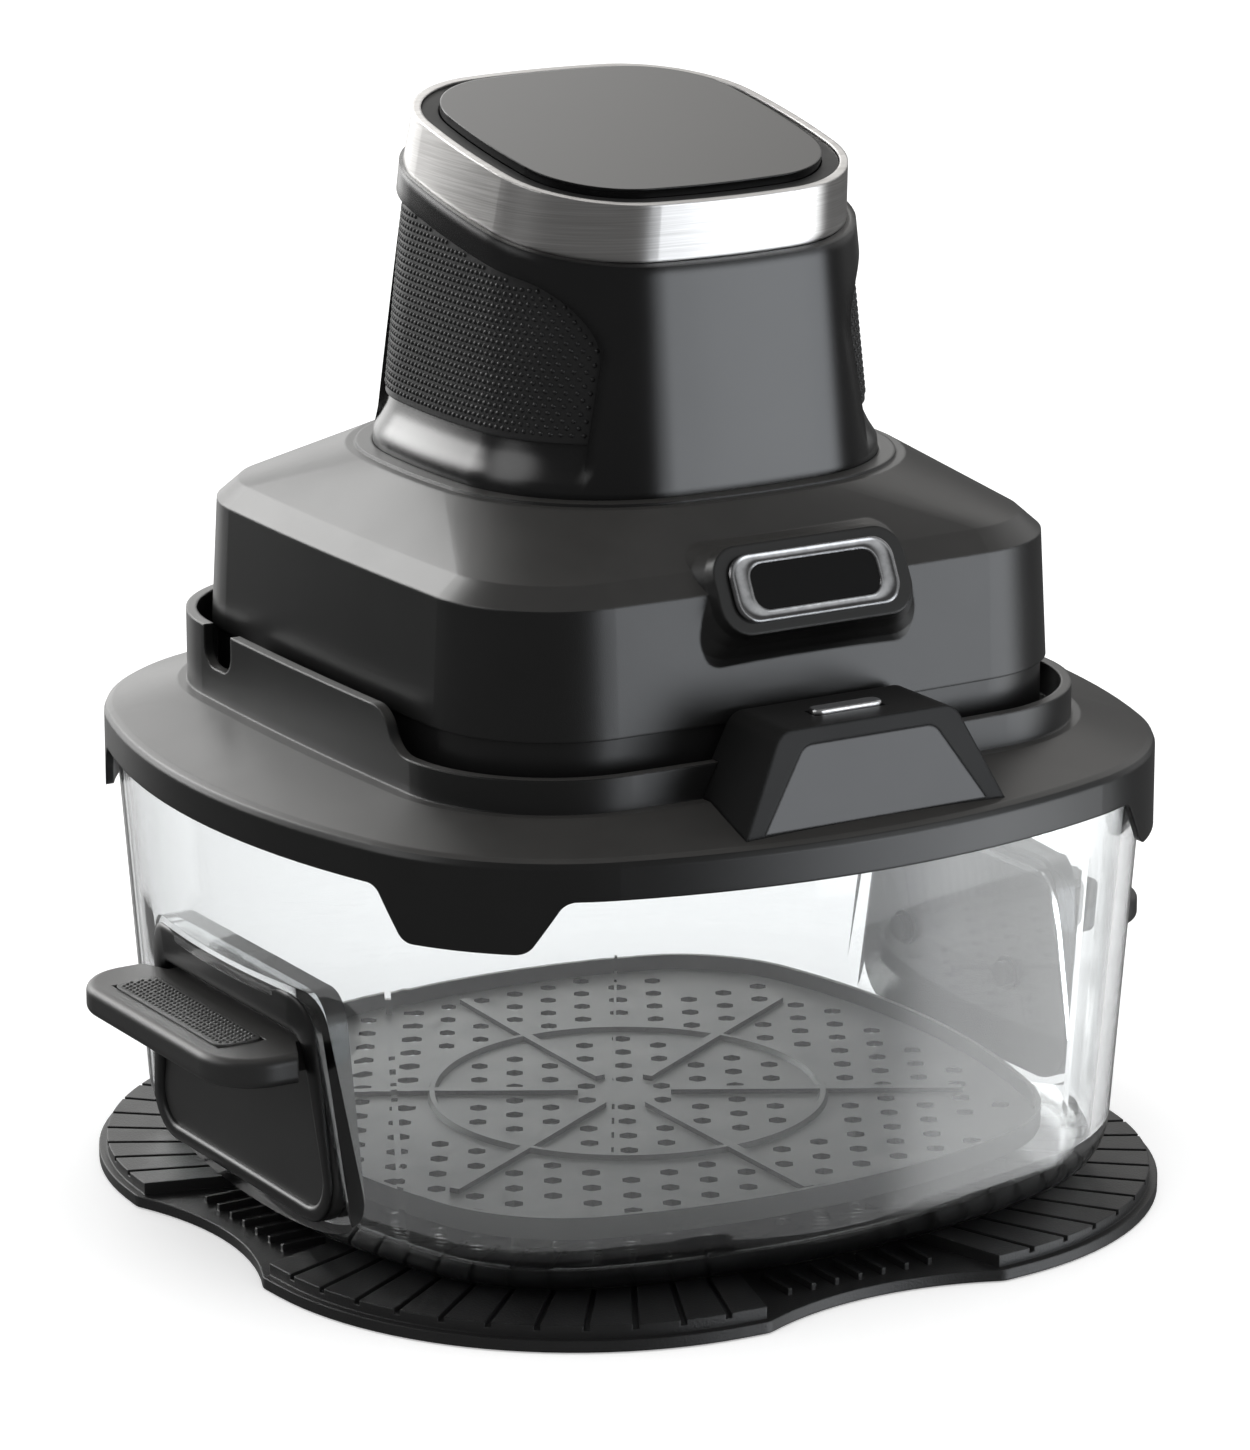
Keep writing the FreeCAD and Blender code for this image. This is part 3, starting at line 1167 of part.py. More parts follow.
def build_drive():
    plate = new_body("motor_bracket")
    lying = sketch_in(plate, "bracket_edge", "XY_Plane", bracket_low)
    polygon(lying, [("-50", "-45"), ("50", "-45"), ("50", "82"), ("-50", "82")])
    circle(lying, "0", "0", "shaft_radius + 4")
    pad(plate, lying, "bracket_thick")
    props = sketch_in(plate, "bracket_props", "XY_Plane", "dish_top")
    for a, b in corners:
        circle(props, f"{a}40", f"{b}36", "4")
    pad(plate, props, "bracket_rise")
    node(plate, "motor_bracket")
    bore = "shaft_radius + shaft_gap"
    node(turned("motor",
                [(bore, motor_low), ("motor_radius", motor_low),
                 ("motor_radius", f"{motor_low} + motor_tall - 4"),
                 ("motor_radius - 4", f"{motor_low} + motor_tall - 4"),
                 ("motor_radius - 4", f"{motor_low} + motor_tall"), (bore, f"{motor_low} + motor_tall")]),
         "motor")
    probe = turned("temperature_sensor",
                   [("0", "dish_top - 16"), ("2", "dish_top - 16"), ("2.5", "dish_top - 13"),
                    ("2.5", "dish_top"), ("5", "dish_top"), ("5", "dish_top + 3"), ("0", "dish_top + 3")])
    node(place(probe, y="78"), "temperature_sensor")
    node(box("thermal_cutout", "16", "11", "6", "-63", "0", "dish_top"), "thermal_cutout")
    lift = f"{motor_low} + 5"
    parts = [box("power_card", "84", "38", "board_thick", "0", "60", lift),
             box("power_choke", "24", "20", "14", "-22", "60", f"{lift} + board_thick"),
             cylinder("power_cap", "7", "18", "10", "62", f"{lift} + board_thick"),
             box("power_relay", "16", "22", "12", "28", "60", f"{lift} + board_thick")]
    node(fuse("power_board", *parts), "power_board")
    props = [cylinder(f"spacer_{i}", "3", "5", f"{a}36", y, motor_low)
             for i, (a, y) in enumerate((a, y) for a in ("", "-") for y in ("46", "74"))]
    node(group("board_spacers", props), "board_spacers")
    out = "(head_half - 0.4)"
    ends = [cylinder("gland_outer", "gland_flange", "3", "0", f"{out} + 3", "gland_z", X, "90"),
            cylinder("gland_body", "gland_radius", "9", "0", f"{out} + 3", "gland_z", X, "90"),
            cylinder("gland_inner", "gland_flange - 1", "2", "0", f"{out} - head_wall - 1.6", "gland_z", X,
                     "90")]
    bore = cylinder("gland_bore", "4", "20", "0", f"{out} + 8", "gland_z", X, "90")
    node(cut("cord_gland", fuse("gland_solid", *ends), bore), "cord_gland")


build_mat()
build_bowl()
for side, turn in (("left", "180"), ("right", "0")):
    build_handle(side + "_handle", turn)
    build_grip_pad(side + "_grip_pad", turn)
build_handle_fasteners()
build_crisper()
ring_solid, latch_solid = build_lid()
build_latch(ring_solid, latch_solid)
build_head_base()
build_housing()
build_tower()
build_controls()
build_dish()
build_guard()
build_heater()
build_rotor()
build_drive()
doc.recompute()

broken = [thing.Name for thing in doc.Objects if "Invalid" in thing.State or "Error" in thing.State]
for piece in nodes:
    if piece.Shape.isNull() or not piece.Shape.isValid() or not piece.Shape.Solids:
        broken.append(piece.Label)
if broken:
    raise RuntimeError("not built: " + ", ".join(broken))
os.makedirs("parts", exist_ok=True)
for piece in nodes:
    piece.Shape.exportStep(f"parts/{piece.Label}.step")
    room = piece.Shape.BoundBox
    print(f"{piece.Label}: {len(piece.Shape.Solids)} solids, x {room.XMin:.1f} {room.XMax:.1f}, "
          f"y {room.YMin:.1f} {room.YMax:.1f}, z {room.ZMin:.1f} {room.ZMax:.1f}")
print(len(nodes), "pieces")
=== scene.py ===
import bpy, bmesh, math
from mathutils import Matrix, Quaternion, Vector
from mathutils.bvhtree import BVHTree


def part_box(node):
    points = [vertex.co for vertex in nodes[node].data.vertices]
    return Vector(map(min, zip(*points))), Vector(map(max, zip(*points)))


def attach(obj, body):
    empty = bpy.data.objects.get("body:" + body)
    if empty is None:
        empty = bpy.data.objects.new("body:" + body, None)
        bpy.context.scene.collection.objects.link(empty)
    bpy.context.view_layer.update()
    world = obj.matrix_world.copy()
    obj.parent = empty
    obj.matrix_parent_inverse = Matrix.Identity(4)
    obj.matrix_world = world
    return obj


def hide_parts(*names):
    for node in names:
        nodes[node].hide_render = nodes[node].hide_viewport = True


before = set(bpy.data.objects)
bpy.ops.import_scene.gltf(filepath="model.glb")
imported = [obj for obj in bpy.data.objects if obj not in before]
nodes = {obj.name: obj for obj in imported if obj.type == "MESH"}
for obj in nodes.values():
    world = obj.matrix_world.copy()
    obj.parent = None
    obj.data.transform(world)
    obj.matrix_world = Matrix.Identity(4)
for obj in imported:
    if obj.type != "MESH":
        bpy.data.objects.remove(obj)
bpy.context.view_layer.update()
print("frame loaded:", len(nodes), "nodes")


# shader helpers: each keeps one material's node tree short to write

def newMaterial(name):
    mat = bpy.data.materials.new(name)
    mat.use_nodes = True
    tree = mat.node_tree
    shader = next(n for n in tree.nodes if n.type == "BSDF_PRINCIPLED")
    return mat, tree, shader


def addNode(tree, kind, **values):
    made = tree.nodes.new("ShaderNode" + kind)
    for key, value in values.items():
        if key in made.inputs:
            made.inputs[key].default_value = value
        else:
            setattr(made, key, value)
    return made


def setInputs(made, **values):
    for key, value in values.items():
        made.inputs[key.replace("_", " ")].default_value = value


def feed(tree, shader, **outputs):
    for key, output in outputs.items():
        tree.links.new(output, shader.inputs[key.replace("_", " ")])


def objectCoords(tree, stretch=(1, 1, 1)):
    coord = addNode(tree, "TexCoord")
    mapping = addNode(tree, "Mapping", Scale=stretch)
    feed(tree, mapping, Vector=coord.outputs["Object"])
    return mapping.outputs["Vector"]


def noiseOf(tree, vector, scale, detail=4, roughness=0.55):
    noise = addNode(tree, "TexNoise", Scale=scale, Detail=detail, Roughness=roughness)
    feed(tree, noise, Vector=vector)
    return noise.outputs["Fac"]


def rampOf(tree, source, low, high, start=0.3, end=0.7):
    ramp = addNode(tree, "ValToRGB")
    for element, place, colour in zip(ramp.color_ramp.elements, (start, end), (low, high)):
        element.position = place
        element.color = (*colour, 1)
    feed(tree, ramp, Fac=source)
    return ramp.outputs["Color"]


def spanOf(tree, source, low, high):
    span = addNode(tree, "MapRange")
    setInputs(span, To_Min=low, To_Max=high)
    feed(tree, span, Value=source)
    return span.outputs["Result"]


def mixOf(tree, share, first, second):
    mix = addNode(tree, "Mix", data_type="RGBA")
    tree.links.new(share, mix.inputs[0])
    for socket, colour in ((mix.inputs[6], first), (mix.inputs[7], second)):
        if isinstance(colour, tuple):
            socket.default_value = (*colour, 1)
        else:
            tree.links.new(colour, socket)
    return mix.outputs[2]


def facingUp(tree, steep, level):    # 0 on steep faces, 1 on level ones
    parts = addNode(tree, "SeparateXYZ")
    feed(tree, parts, Vector=addNode(tree, "NewGeometry").outputs["Normal"])
    lying = addNode(tree, "MapRange", interpolation_type="SMOOTHSTEP")
    setInputs(lying, From_Min=steep, From_Max=level)
    feed(tree, lying, Value=parts.outputs["Z"])
    return lying.outputs["Result"]


def bumpInto(tree, shader, height, strength, distance, edge=0):
    bump = addNode(tree, "Bump", Strength=strength, Distance=distance)
    feed(tree, bump, Height=height)
    if edge:
        worn = addNode(tree, "Bevel", samples=4, Radius=edge)    # moulded edges are never knife sharp
        feed(tree, bump, Normal=worn.outputs["Normal"])
    feed(tree, shader, Normal=bump.outputs["Normal"])


# dust in patches plus painted light: the faces that look up are lightened as if lit from above
dustAndTopLightLayer = dict(colour=(0.30, 0.29, 0.275), patches=60, steep=0.4, level=0.95, spread=0.25)


def addDustAndTopLight(tree, colour, where, dustAndTopLight):
    p = dustAndTopLightLayer
    patchy = addNode(tree, "Math", operation="MULTIPLY")
    tree.links.new(facingUp(tree, p["steep"], p["level"]), patchy.inputs[0])
    patches = noiseOf(tree, where, p["patches"], 5)
    least, most = dustAndTopLight * (1 - p["spread"]), dustAndTopLight * (1 + p["spread"])
    tree.links.new(spanOf(tree, patches, least, most), patchy.inputs[1])
    return mixOf(tree, patchy.outputs[0], colour, p["colour"])


# moulded plastics: fine spark-eroded grain, a little drift in colour and gloss
moulding = dict(drift=14, gloss=45, depth=0.0004, specular=0.5)
plastics = {
    "satinBlack": dict(dark=(0.0035, 0.0035, 0.0036), light=(0.0055, 0.0055, 0.0056), rough=(0.30, 0.38),
                       grain=2600, bump=0.05, edge=0.0009, dustAndTopLight=0.02),
    "roofBlack": dict(dark=(0.0035, 0.0035, 0.0035), light=(0.0055, 0.0055, 0.0055), rough=(0.30, 0.36),
                      grain=3000, bump=0.08, edge=0.0010, dustAndTopLight=0.10),
    "handleBlack": dict(dark=(0.010, 0.010, 0.010), light=(0.015, 0.015, 0.0148), rough=(0.38, 0.46),
                        grain=2200, bump=0.08, edge=0.0009, dustAndTopLight=0.10),
    "towerBlack": dict(dark=(0.0030, 0.0030, 0.0031), light=(0.0045, 0.0045, 0.0046), rough=(0.17, 0.22),
                       grain=2400, bump=0.02, edge=0.0040, dustAndTopLight=0.02),
    "glossBlack": dict(dark=(0.0025, 0.0025, 0.0026), light=(0.0035, 0.0035, 0.0036), rough=(0.03, 0.06),
                       grain=300, bump=0.004, edge=0.0006, dustAndTopLight=0.01),
    "latchGrey": dict(dark=(0.008, 0.008, 0.009), light=(0.012, 0.012, 0.013), rough=(0.20, 0.26),
                      grain=1800, bump=0.02, edge=0.0006, dustAndTopLight=0.01, specular=0.40),
    "latchBlack": dict(dark=(0.0030, 0.0030, 0.0031), light=(0.0045, 0.0045, 0.0046), rough=(0.48, 0.56),
                       grain=2600, bump=0.08, edge=0.0012, dustAndTopLight=0.015, specular=0.26),
    "inlayBlack": dict(dark=(0.0015, 0.0015, 0.0016), light=(0.0022, 0.0022, 0.0023), rough=(0.05, 0.09),
                       grain=400, bump=0.004, edge=0.0005, dustAndTopLight=0.0, specular=0.12),
    "innerBlack": dict(dark=(0.006, 0.006, 0.006), light=(0.010, 0.010, 0.010), rough=(0.45, 0.6),
                       grain=1500, bump=0.08, edge=0.0006, dustAndTopLight=0.02),
}


def plastic(name):
    p = plastics[name]
    mat, tree, shader = newMaterial(name)
    setInputs(shader, Specular_IOR_Level=p.get("specular", moulding["specular"]))
    where = objectCoords(tree)
    colour = rampOf(tree, noiseOf(tree, where, moulding["drift"], 3), p["dark"], p["light"])
    gloss = noiseOf(tree, where, moulding["gloss"], 5)
    # painted top light with dust: upward faces get a lighter grey
    feed(tree, shader, Base_Color=addDustAndTopLight(tree, colour, where, p["dustAndTopLight"]),
         Roughness=spanOf(tree, gloss, *p["rough"]))
    bumpInto(tree, shader, noiseOf(tree, where, p["grain"], 2), p["bump"], moulding["depth"], p["edge"])
    return mat


# rubbers and silicone: dull, uneven in patches
curing = dict(drift=25, gloss=60, depth=0.0005, edge=0.0007)
rubbers = {
    "matRubber": dict(dark=(0.0050, 0.0050, 0.0052), light=(0.0085, 0.0085, 0.0088), rough=(0.40, 0.50),
                      grain=1400, bump=0.2),
    "softPad": dict(dark=(0.0050, 0.0050, 0.0052), light=(0.0075, 0.0075, 0.0078), rough=(0.36, 0.46),
                    grain=900, bump=0.15),
    "ledgePad": dict(dark=(0.030, 0.030, 0.029), light=(0.045, 0.045, 0.043), rough=(0.40, 0.50),
                     grain=900, bump=0.15),
    "paleSilicone": dict(dark=(0.50, 0.50, 0.50), light=(0.62, 0.62, 0.62), rough=(0.5, 0.65),
                         grain=700, bump=0.1),
}


def rubber(name):
    p = rubbers[name]
    mat, tree, shader = newMaterial(name)
    where = objectCoords(tree)
    colour = rampOf(tree, noiseOf(tree, where, curing["drift"], 6), p["dark"], p["light"])
    gloss = noiseOf(tree, where, curing["gloss"], 4)
    feed(tree, shader, Base_Color=colour, Roughness=spanOf(tree, gloss, *p["rough"]))
    bumpInto(tree, shader, noiseOf(tree, where, p["grain"], 3), p["bump"], curing["depth"], curing["edge"])
    return mat


# metals: brushed runs along one direction, plain ones have soft smudges
polish = dict(bump=0.06, depth=0.0002, brushed=0.7, turn=0.25)
metals = {
    "brushedSteel": dict(dark=(0.50, 0.49, 0.48), light=(0.66, 0.65, 0.64), rough=(0.26, 0.34),
                         stretch=(30, 30, 2400), edge=0.0008),
    "brightSilver": dict(dark=(0.78, 0.78, 0.79), light=(0.88, 0.88, 0.89), rough=(0.12, 0.20),
                         stretch=(400, 400, 400), edge=0.0011),
    "badgeChrome": dict(dark=(0.26, 0.26, 0.265), light=(0.34, 0.34, 0.345), rough=(0.07, 0.13),
                        stretch=(300, 300, 300), edge=0.0009),
    "sheetAluminium": dict(dark=(0.55, 0.56, 0.57), light=(0.68, 0.69, 0.70), rough=(0.28, 0.42),
                           stretch=(900, 40, 900), edge=0),
    "blackScrew": dict(dark=(0.012, 0.012, 0.012), light=(0.022, 0.022, 0.022), rough=(0.3, 0.45),
                       stretch=(600, 600, 600), edge=0),
    "platedScrew": dict(dark=(0.42, 0.42, 0.43), light=(0.58, 0.58, 0.59), rough=(0.2, 0.35),
                        stretch=(600, 600, 600), edge=0),
    "sootyTube": dict(dark=(0.06, 0.055, 0.05), light=(0.13, 0.12, 0.11), rough=(0.45, 0.65),
                      stretch=(300, 300, 300), edge=0),
}


def metal(name):
    p = metals[name]
    mat, tree, shader = newMaterial(name)
    setInputs(shader, Metallic=1.0)
    if name == "brushedSteel":    # the brushing runs level, so highlights stretch upright
        setInputs(shader, Anisotropic=polish["brushed"], Anisotropic_Rotation=polish["turn"])
        around = addNode(tree, "Tangent", direction_type="RADIAL", axis="Z")
        feed(tree, shader, Tangent=around.outputs["Tangent"])
    streak = noiseOf(tree, objectCoords(tree, p["stretch"]), 1, 3)
    feed(tree, shader, Base_Color=rampOf(tree, streak, p["dark"], p["light"]),
         Roughness=spanOf(tree, streak, *p["rough"]))
    bumpInto(tree, shader, streak, polish["bump"], polish["depth"], p["edge"])
    return mat


# clear bowl: washed glass keeps a faint hazy film
bowlGlass = dict(tint=(0.97, 0.985, 0.99), ior=1.55, rough=(0.0, 0.015), smears=30, film=0.8, filmRough=0.28)


def clearGlass():
    p = bowlGlass
    mat, tree, shader = newMaterial("clearBowl")
    setInputs(shader, Base_Color=(*p["tint"], 1), Transmission_Weight=1.0, IOR=p["ior"],
              Coat_Weight=p["film"], Coat_Roughness=p["filmRough"])
    smears = noiseOf(tree, objectCoords(tree), p["smears"], 4)
    feed(tree, shader, Roughness=spanOf(tree, smears, *p["rough"]))
    return mat


# grey coated crisper plate; its lip, hole walls and rib sides get painted shade, a dark colour on steep faces
plateCoatAndShade = dict(dark=(0.36, 0.36, 0.35), light=(0.48, 0.48, 0.46), edge=(0.030, 0.030, 0.029),
                 steep=0.3, level=0.8, rough=(0.35, 0.5), drift=40, gloss=90, grain=2200, bump=0.1, depth=0.0003)


def coatedPlateAndShade():
    p = plateCoatAndShade
    mat, tree, shader = newMaterial("plateCoatAndShade")
    where = objectCoords(tree)
    coat = rampOf(tree, noiseOf(tree, where, p["drift"], 5), p["dark"], p["light"])
    # painted shade: steep faces take the dark edge colour, level faces the grey coat
    feed(tree, shader, Base_Color=mixOf(tree, facingUp(tree, p["steep"], p["level"]), p["edge"], coat),
         Roughness=spanOf(tree, noiseOf(tree, where, p["gloss"], 4), *p["rough"]))
    bumpInto(tree, shader, noiseOf(tree, where, p["grain"], 2), p["bump"], p["depth"])
    return mat


boardMask = dict(dark=(0.015, 0.09, 0.04), light=(0.03, 0.15, 0.07), rough=(0.3, 0.5), drift=160, gloss=120)


def circuitBoard():
    p = boardMask
    mat, tree, shader = newMaterial("boardGreen")
    where = objectCoords(tree)
    feed(tree, shader, Base_Color=rampOf(tree, noiseOf(tree, where, p["drift"], 2), p["dark"], p["light"]),
         Roughness=spanOf(tree, noiseOf(tree, where, p["gloss"], 3), *p["rough"]))
    return mat


finishes = {name: plastic(name) for name in plastics}
finishes.update({name: rubber(name) for name in rubbers})
finishes.update({name: metal(name) for name in metals})
finishes["clearBowl"] = clearGlass()
finishes["plateCoatAndShade"] = coatedPlateAndShade()
finishes["boardGreen"] = circuitBoard()
print("materials:", len(finishes))

# finish of every carried-over node
nodeFinish = {
    "base_mat": "matRubber",
    "glass_bowl": "clearBowl",
    "left_handle": "handleBlack", "right_handle": "handleBlack",
    "left_grip_pad": "ledgePad", "right_grip_pad": "ledgePad",
    "handle_screws": "blackScrew", "handle_washers": "blackScrew",
    "crisper_plate": "plateCoatAndShade", "plate_feet": "softPad",
    "lid_ring": "roofBlack", "ring_seal": "paleSilicone",
    "latch_housing": "latchBlack", "latch_panel": "latchGrey",
    "latch_tongue": "brushedSteel", "latch_screws": "platedScrew",
    "release_button": "brightSilver",
    "head_base": "satinBlack", "head_housing": "roofBlack", "housing_screws": "platedScrew",
    "tower_shell": "towerBlack", "left_grip_panel": "softPad", "right_grip_panel": "softPad",
    "steel_band": "brushedSteel", "panel_bezel": "innerBlack",
    "touch_panel": "glossBlack", "control_board": "boardGreen",
    "badge_frame": "badgeChrome", "badge_plate": "inlayBlack",
    "motor": "brushedSteel", "motor_bracket": "sheetAluminium", "heat_reflector": "sheetAluminium",
    "heating_element": "sootyTube", "heater_guard": "sheetAluminium", "temperature_sensor": "brushedSteel",
    "thermal_cutout": "innerBlack", "power_board": "boardGreen", "board_spacers": "innerBlack",
    "cord_gland": "softPad",
    "motor_shaft": "brushedSteel", "convection_fan": "sheetAluminium", "fan_nut": "platedScrew",
    "cooling_fan": "innerBlack",
}


def dressNodes():
    for name, finish in nodeFinish.items():
        piece = nodes[name]
        if not piece.material_slots:
            piece.data.materials.append(finishes[finish])
        for slot in piece.material_slots:
            slot.material = finishes[finish]


dressNodes()
print("nodes dressed:", len(nodeFinish))


def addPiece(name, mesh, finish, body):
    mesh.materials.append(finishes[finish])
    piece = bpy.data.objects.new(name, mesh)
    bpy.context.scene.collection.objects.link(piece)
    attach(piece, body)
    return piece


# raised dots: small domes set on the face of a node, row by row
gripDot = dict(pitch=(0.0023, 0.0020), radius=0.00075, tall=0.0005, margin=0.0022)
ledgeDot = dict(pitch=(0.0021, 0.0018), radius=0.0007, tall=0.0004, margin=0.0011)
dotSets = {
    "leftGripDots": dict(node="left_grip_panel", body="head", toward=(1, 0, 0), **gripDot),
    "rightGripDots": dict(node="right_grip_panel", body="head", toward=(-1, 0, 0), **gripDot),
    "leftLedgeDots": dict(node="left_grip_pad", body="bowl", toward=(0, 0, -1), **ledgeDot),
    "rightLedgeDots": dict(node="right_grip_pad", body="bowl", toward=(0, 0, -1), **ledgeDot),
}
dome = dict(sides=7, rings=((1.0, -0.3), (0.95, 0.25), (0.55, 0.85)))    # shares of radius and of height
castFrom, leastFacing, stepLimit = 0.1, 0.4, 0.004    # rays start outside; rims and steps carry no dot


def addDome(points, faces, spot, normal, radius, tall):
    first, sides = len(points), dome["sides"]
    turn = normal.to_track_quat("Z", "Y")
    for share, height in dome["rings"]:
        for k in range(sides):
            angle = 2 * math.pi * k / sides
            across, along = radius * share * math.cos(angle), radius * share * math.sin(angle)
            points.append(spot + turn @ Vector((across, along, height * tall)))
    points.append(spot + normal * tall)
    for ring in (0, 1):
        for k in range(sides):
            a, b = first + ring * sides + k, first + ring * sides + (k + 1) % sides
            faces.append((a, b, b + sides, a + sides))
    for k in range(sides):
        faces.append((first + 2 * sides + k, first + 2 * sides + (k + 1) % sides, first + 3 * sides))


def buildDots(name):
    p = dotSets[name]
    piece = nodes[p["node"]]
    spots = [piece.matrix_world @ v.co for v in piece.data.vertices]
    skin = BVHTree.FromPolygons(spots, [tuple(f.vertices) for f in piece.data.polygons])
    toward = Vector(p["toward"])
    low, high = (Vector(c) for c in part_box(p["node"]))
    upright = abs(toward.z) < 0.5
    along, across = Vector((0, 1, 0)), Vector((0, 0, 1)) if upright else Vector((1, 0, 0))
    middle = (low + high) / 2
    points, faces, made = [], [], 0
    rows = int((high - low).dot(across) / p["pitch"][1] / 2) + 1
    columns = int((high - low).dot(along) / p["pitch"][0] / 2) + 1
    for row in range(-rows, rows + 1):
        for column in range(-columns, columns + 1):
            shift = along * ((column + 0.5 * (row % 2)) * p["pitch"][0]) + across * (row * p["pitch"][1])
            start = middle + shift - toward * castFrom
            spot, normal, _, reach = skin.ray_cast(start, toward)
            if spot is None or -normal.dot(toward) < leastFacing:
                continue
            near = [skin.ray_cast(start + side * p["margin"], toward)
                    for side in (along, -along, across, -across)]
            if all(n[0] is not None and abs(n[3] - reach) < stepLimit for n in near):
                addDome(points, faces, spot, normal, p["radius"], p["tall"])
                made += 1
    mesh = bpy.data.meshes.new(name)
    mesh.from_pydata(points, [], faces)
    mesh.polygons.foreach_set("use_smooth", [True] * len(faces))
    addPiece(name, mesh, nodeFinish[p["node"]], p["body"])
    return made


print("raised dots:", {name: buildDots(name) for name in dotSets})


# rims: rings with a rolled section, lofted between an outer and an inner outline

def roundedOutline(corners, radii, steps=9):
    points = []
    for k, radius in enumerate(radii):
        here, last, after = (Vector((*corners[(k + s) % len(corners)], 0)) for s in (0, -1, 1))
        toLast, toNext = (last - here).normalized(), (after - here).normalized()
        half = toLast.angle(toNext) / 2
        middle = here + (toLast + toNext).normalized() * (radius / math.sin(half))
        start = here + toLast * (radius / math.tan(half)) - middle
        sweep = math.pi - 2 * half
        for step in range(steps + 1):
            turned = start.copy()
            turned.rotate(Quaternion((0, 0, 1), sweep * step / steps))
            points.append((middle + turned).xy)
    return points


def loftRim(name, outer, inner, section, place):
    points, faces = [], []
    count = len(outer)
    for share, *level in section:
        points += [place(*a.lerp(b, share), *level) for a, b in zip(outer, inner)]
    for ring in range(len(section)):
        start, following = ring * count, (ring + 1) % len(section) * count
        for k in range(count):
            nextOne = (k + 1) % count
            faces.append((start + k, start + nextOne, following + nextOne, following + k))
    shape = bmesh.new()
    spots = [shape.verts.new(p) for p in points]
    for face in faces:
        shape.faces.new([spots[i] for i in face]).smooth = True
    bmesh.ops.recalc_face_normals(shape, faces=shape.faces)
    mesh = bpy.data.meshes.new(name)
    shape.to_mesh(mesh)
    shape.free()
    return mesh


# badge frame: section points are (share from outer to inner outline, share of depth)
badgeRim = dict(tilt=63, deep=0.0016, wide=0.055, tall=0.020, corner=0.0065,
                window=(0.042, 0.0134), windowCorner=0.0045,
                section=((0, 0), (0, 0.62), (0.05, 0.9), (0.13, 1.0), (0.22, 0.9), (0.32, 0.80), (0.78, 0.80),
                         (0.86, 0.88), (0.93, 0.92), (1, 0.8), (1, 0.55)))


def buildBadgeRim():
    p = badgeRim
    tilt = math.radians(p["tilt"])
    up, out = Vector((0, math.cos(tilt), math.sin(tilt))), Vector((0, -math.sin(tilt), math.cos(tilt)))
    low, high = (Vector(c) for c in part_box("badge_frame"))
    seat = (low + high) / 2 - out * (p["deep"] / 2)
    outlines = []
    for (wide, tall), corner in (((p["wide"], p["tall"]), p["corner"]), (p["window"], p["windowCorner"])):
        x, y = wide / 2, tall / 2
        outlines.append(roundedOutline(((-x, -y), (x, -y), (x, y), (-x, y)), (corner,) * 4))
    mesh = loftRim("badgeRim", *outlines, p["section"],
                   lambda u, v, height: seat + Vector((u, 0, 0)) + up * v + out * (height * p["deep"]))
    rim = addPiece("badgeRim", mesh, "badgeChrome", "head")
    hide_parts("badge_frame")


# handle rims: section points are (share from outer to inner outline, 1 on the wall or 0 on the plate, lift)
handleRim = dict(face=0.1305, wall=0.1381, bow=0.464, lean=0.0738, level=0.084,
                 outer=((-0.0570, 0.0184), (0.0570, 0.0184), (0.0485, 0.0872), (-0.0485, 0.0872)),
                 outerCorner=(0.0136, 0.0136, 0.0110, 0.0110),
                 inner=((-0.0525, 0.0229), (0.0525, 0.0229), (0.0427, 0.0755), (-0.0427, 0.0755)),
                 innerCorner=(0.010, 0.010, 0.006, 0.006),
                 section=((0, 1, 0.0002), (0, 1, 0.0008), (0.04, 1, 0.0012), (0.14, 1, 0.0015),
                          (0.7, 1, 0.0015), (0.9, 1, 0.0012), (0.98, 1, 0.0007), (1, 1, -0.0002),
                          (1, 0, -0.0006), (0.46, 0, -0.0006), (0.46, 1, 0.0002)))


def buildHandleRim(name, side):
    p = handleRim

    def place(u, v, outside, lift):
        wall = p["wall"] - u * u / p["bow"] - (p["level"] - v) * p["lean"]    # the bowl's side bows and leans
        return Vector((side * ((max(wall, p["face"]) if outside else p["face"]) + lift), u, v))

    outer, inner = roundedOutline(p["outer"], p["outerCorner"]), roundedOutline(p["inner"], p["innerCorner"])
    addPiece(name, loftRim(name, outer, inner, p["section"], place), "satinBlack", "bowl")


buildBadgeRim()
buildHandleRim("leftHandleRim", -1)
buildHandleRim("rightHandleRim", 1)
print("rims built: badge, two handles")

# studio: even white light on the floor, and a set of soft cards that only shine in reflections
studio = dict(floorSize=16.0, floorDrop=0.0005, floorTone=0.90, floorDrift=0.995, floorRough=0.9,
              floorGlow=0.34, fill=1.06, dim=0.13)
cards = {
    "window": dict(azimuth=-24, elevation=23, core=8, fade=24, glow=7.0, tint=(1.0, 1.0, 0.99)),
    "backGlow": dict(azimuth=3, elevation=16, core=10, fade=37, glow=2.15, tint=(1.0, 1.0, 0.99)),
    "leftCard": dict(azimuth=-72, elevation=32, core=9, fade=23, glow=2.4, tint=(1.0, 1.0, 1.0)),
    "skylight": dict(azimuth=37, elevation=42, core=8, fade=26, glow=0.8, tint=(1.0, 0.98, 0.95)),
    "frontCard": dict(azimuth=142, elevation=-5, core=19, fade=32, glow=3.7, tint=(0.93, 0.97, 1.02),
                      flatten=1.7),
    "frontHigh": dict(azimuth=146, elevation=15, core=10, fade=26, glow=1.0, tint=(0.97, 0.99, 1.0)),
    "rightCard": dict(azimuth=82, elevation=24, core=12, fade=34, glow=0.7, tint=(1.0, 1.0, 1.0)),
    "rightVeil": dict(azimuth=119, elevation=-23, core=8, fade=21, glow=2.4, tint=(0.97, 0.99, 1.0),
                      flatten=1.4),
}


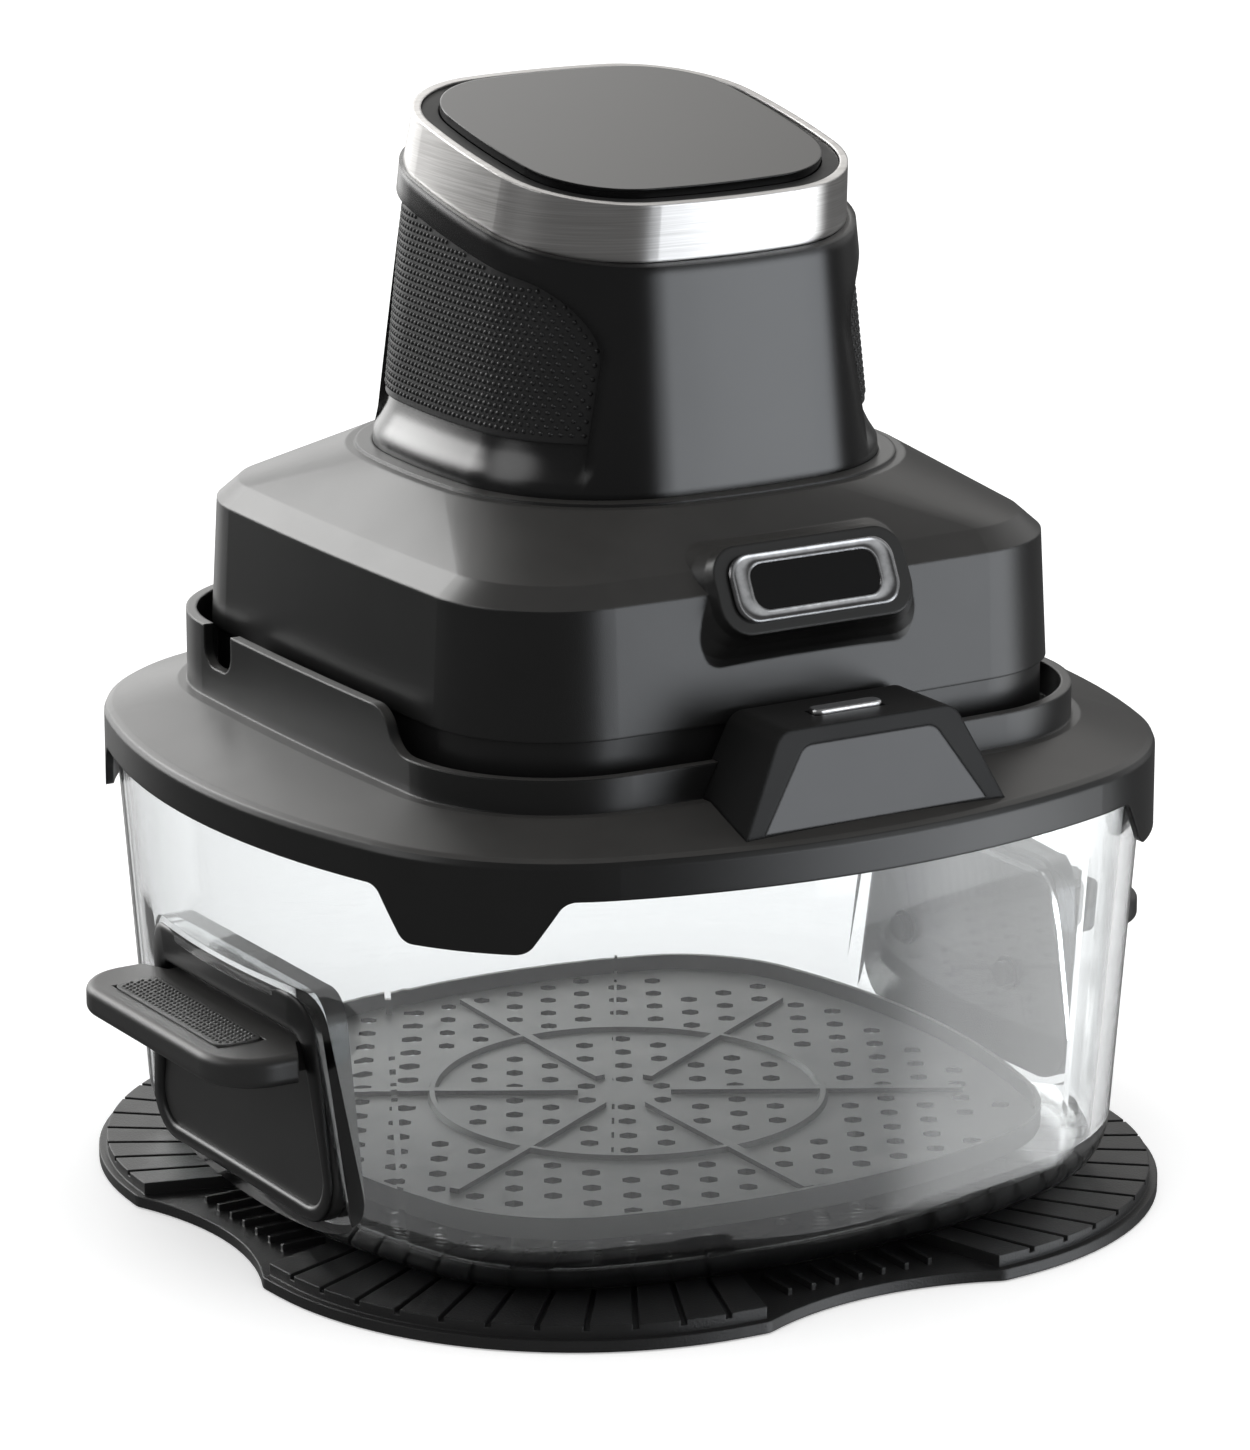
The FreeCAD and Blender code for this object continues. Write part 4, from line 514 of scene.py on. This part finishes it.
def cardInto(tree, direction, p, total):
    turn, lift = math.radians(p["azimuth"]), math.radians(p["elevation"])
    flatten = p.get("flatten", 1)    # a flattened card is wider than it is tall
    aim = Vector((math.sin(turn) * math.cos(lift), math.cos(turn) * math.cos(lift), math.sin(lift) * flatten))
    squeezed = addNode(tree, "VectorMath", operation="MULTIPLY")
    squeezed.inputs[1].default_value = (1, 1, flatten)
    tree.links.new(direction, squeezed.inputs[0])
    unit = addNode(tree, "VectorMath", operation="NORMALIZE")
    tree.links.new(squeezed.outputs["Vector"], unit.inputs[0])
    facing = addNode(tree, "VectorMath", operation="DOT_PRODUCT")
    facing.inputs[1].default_value = aim.normalized()
    tree.links.new(unit.outputs["Vector"], facing.inputs[0])
    edge = addNode(tree, "MapRange", interpolation_type="SMOOTHSTEP")
    setInputs(edge, From_Min=math.cos(math.radians(p["fade"])), From_Max=math.cos(math.radians(p["core"])))
    feed(tree, edge, Value=facing.outputs["Value"])
    colour = addNode(tree, "VectorMath", operation="SCALE")
    colour.inputs[0].default_value = [t * p["glow"] for t in p["tint"]]
    feed(tree, colour, Scale=edge.outputs["Result"])
    added = addNode(tree, "VectorMath", operation="ADD")
    if total is None:
        added.inputs[0].default_value = (studio["dim"],) * 3
    else:
        tree.links.new(total, added.inputs[0])
    tree.links.new(colour.outputs["Vector"], added.inputs[1])
    return added.outputs["Vector"]


def buildSky():
    world = bpy.data.worlds.new("studioSky")
    world.use_nodes = True
    tree = world.node_tree
    tree.nodes.clear()
    direction = addNode(tree, "TexCoord").outputs["Generated"]
    total = None
    for p in cards.values():
        total = cardInto(tree, direction, p, total)
    seen = addNode(tree, "Background")
    feed(tree, seen, Color=total)
    plain = addNode(tree, "Background", Strength=studio["fill"], Color=(1, 1, 1, 1))
    mix = addNode(tree, "MixShader")
    tree.links.new(addNode(tree, "LightPath").outputs["Is Glossy Ray"], mix.inputs[0])
    tree.links.new(plain.outputs[0], mix.inputs[1])
    tree.links.new(seen.outputs[0], mix.inputs[2])
    feed(tree, addNode(tree, "OutputWorld"), Surface=mix.outputs[0])
    bpy.context.scene.world = world


def buildFloor():
    half, tone = studio["floorSize"] / 2, studio["floorTone"]
    mesh = bpy.data.meshes.new("studioFloor")
    corners = [(-half, -half, 0), (half, -half, 0), (half, half, 0), (-half, half, 0)]
    mesh.from_pydata(corners, [], [(0, 1, 2, 3)])
    floor = bpy.data.objects.new("studioFloor", mesh)
    bpy.context.scene.collection.objects.link(floor)
    floor.location.z = -studio["floorDrop"]
    floor.visible_glossy = False    # the cards below the horizon stand in for it
    mat, tree, shader = newMaterial("floorPaper")
    paper = noiseOf(tree, objectCoords(tree), 3, 2)
    feed(tree, shader, Base_Color=rampOf(tree, paper, [tone * studio["floorDrift"]] * 3, [tone] * 3))
    setInputs(shader, Roughness=studio["floorRough"], Specular_IOR_Level=0.0, Emission_Color=(1, 1, 1, 1),
              Emission_Strength=studio["floorGlow"])    # lit from below, so shadows stay faint
    mesh.materials.append(mat)


buildSky()
buildFloor()
bpy.context.scene.view_settings.view_transform = "Standard"

# camera at the photograph's angle; focal length in pixels of the 1250 x 1450 frame
view = dict(azimuth=-31.2, elevation=15.4, distance=1.822, focal=6090, tall=1450, sensor=36, far=50,
            aim=(0, 0, 0.1378), slide=0.0002)


def buildCamera():
    turn, lift = math.radians(view["azimuth"]), math.radians(view["elevation"])
    back = Vector((math.sin(turn) * math.cos(lift), -math.cos(turn) * math.cos(lift), math.sin(lift)))
    right = Vector((math.cos(turn), math.sin(turn), 0))
    data = bpy.data.cameras.new("photoCamera")
    data.sensor_width = view["sensor"]
    data.lens = view["focal"] / view["tall"] * view["sensor"]
    data.clip_end = view["far"]
    camera = bpy.data.objects.new("photoCamera", data)
    camera.location = Vector(view["aim"]) + back * view["distance"] + right * view["slide"]
    camera.rotation_euler = (-back).to_track_quat("-Z", "Y").to_euler()
    bpy.context.scene.collection.objects.link(camera)
    bpy.context.scene.camera = camera


buildCamera()
print("studio and camera ready")
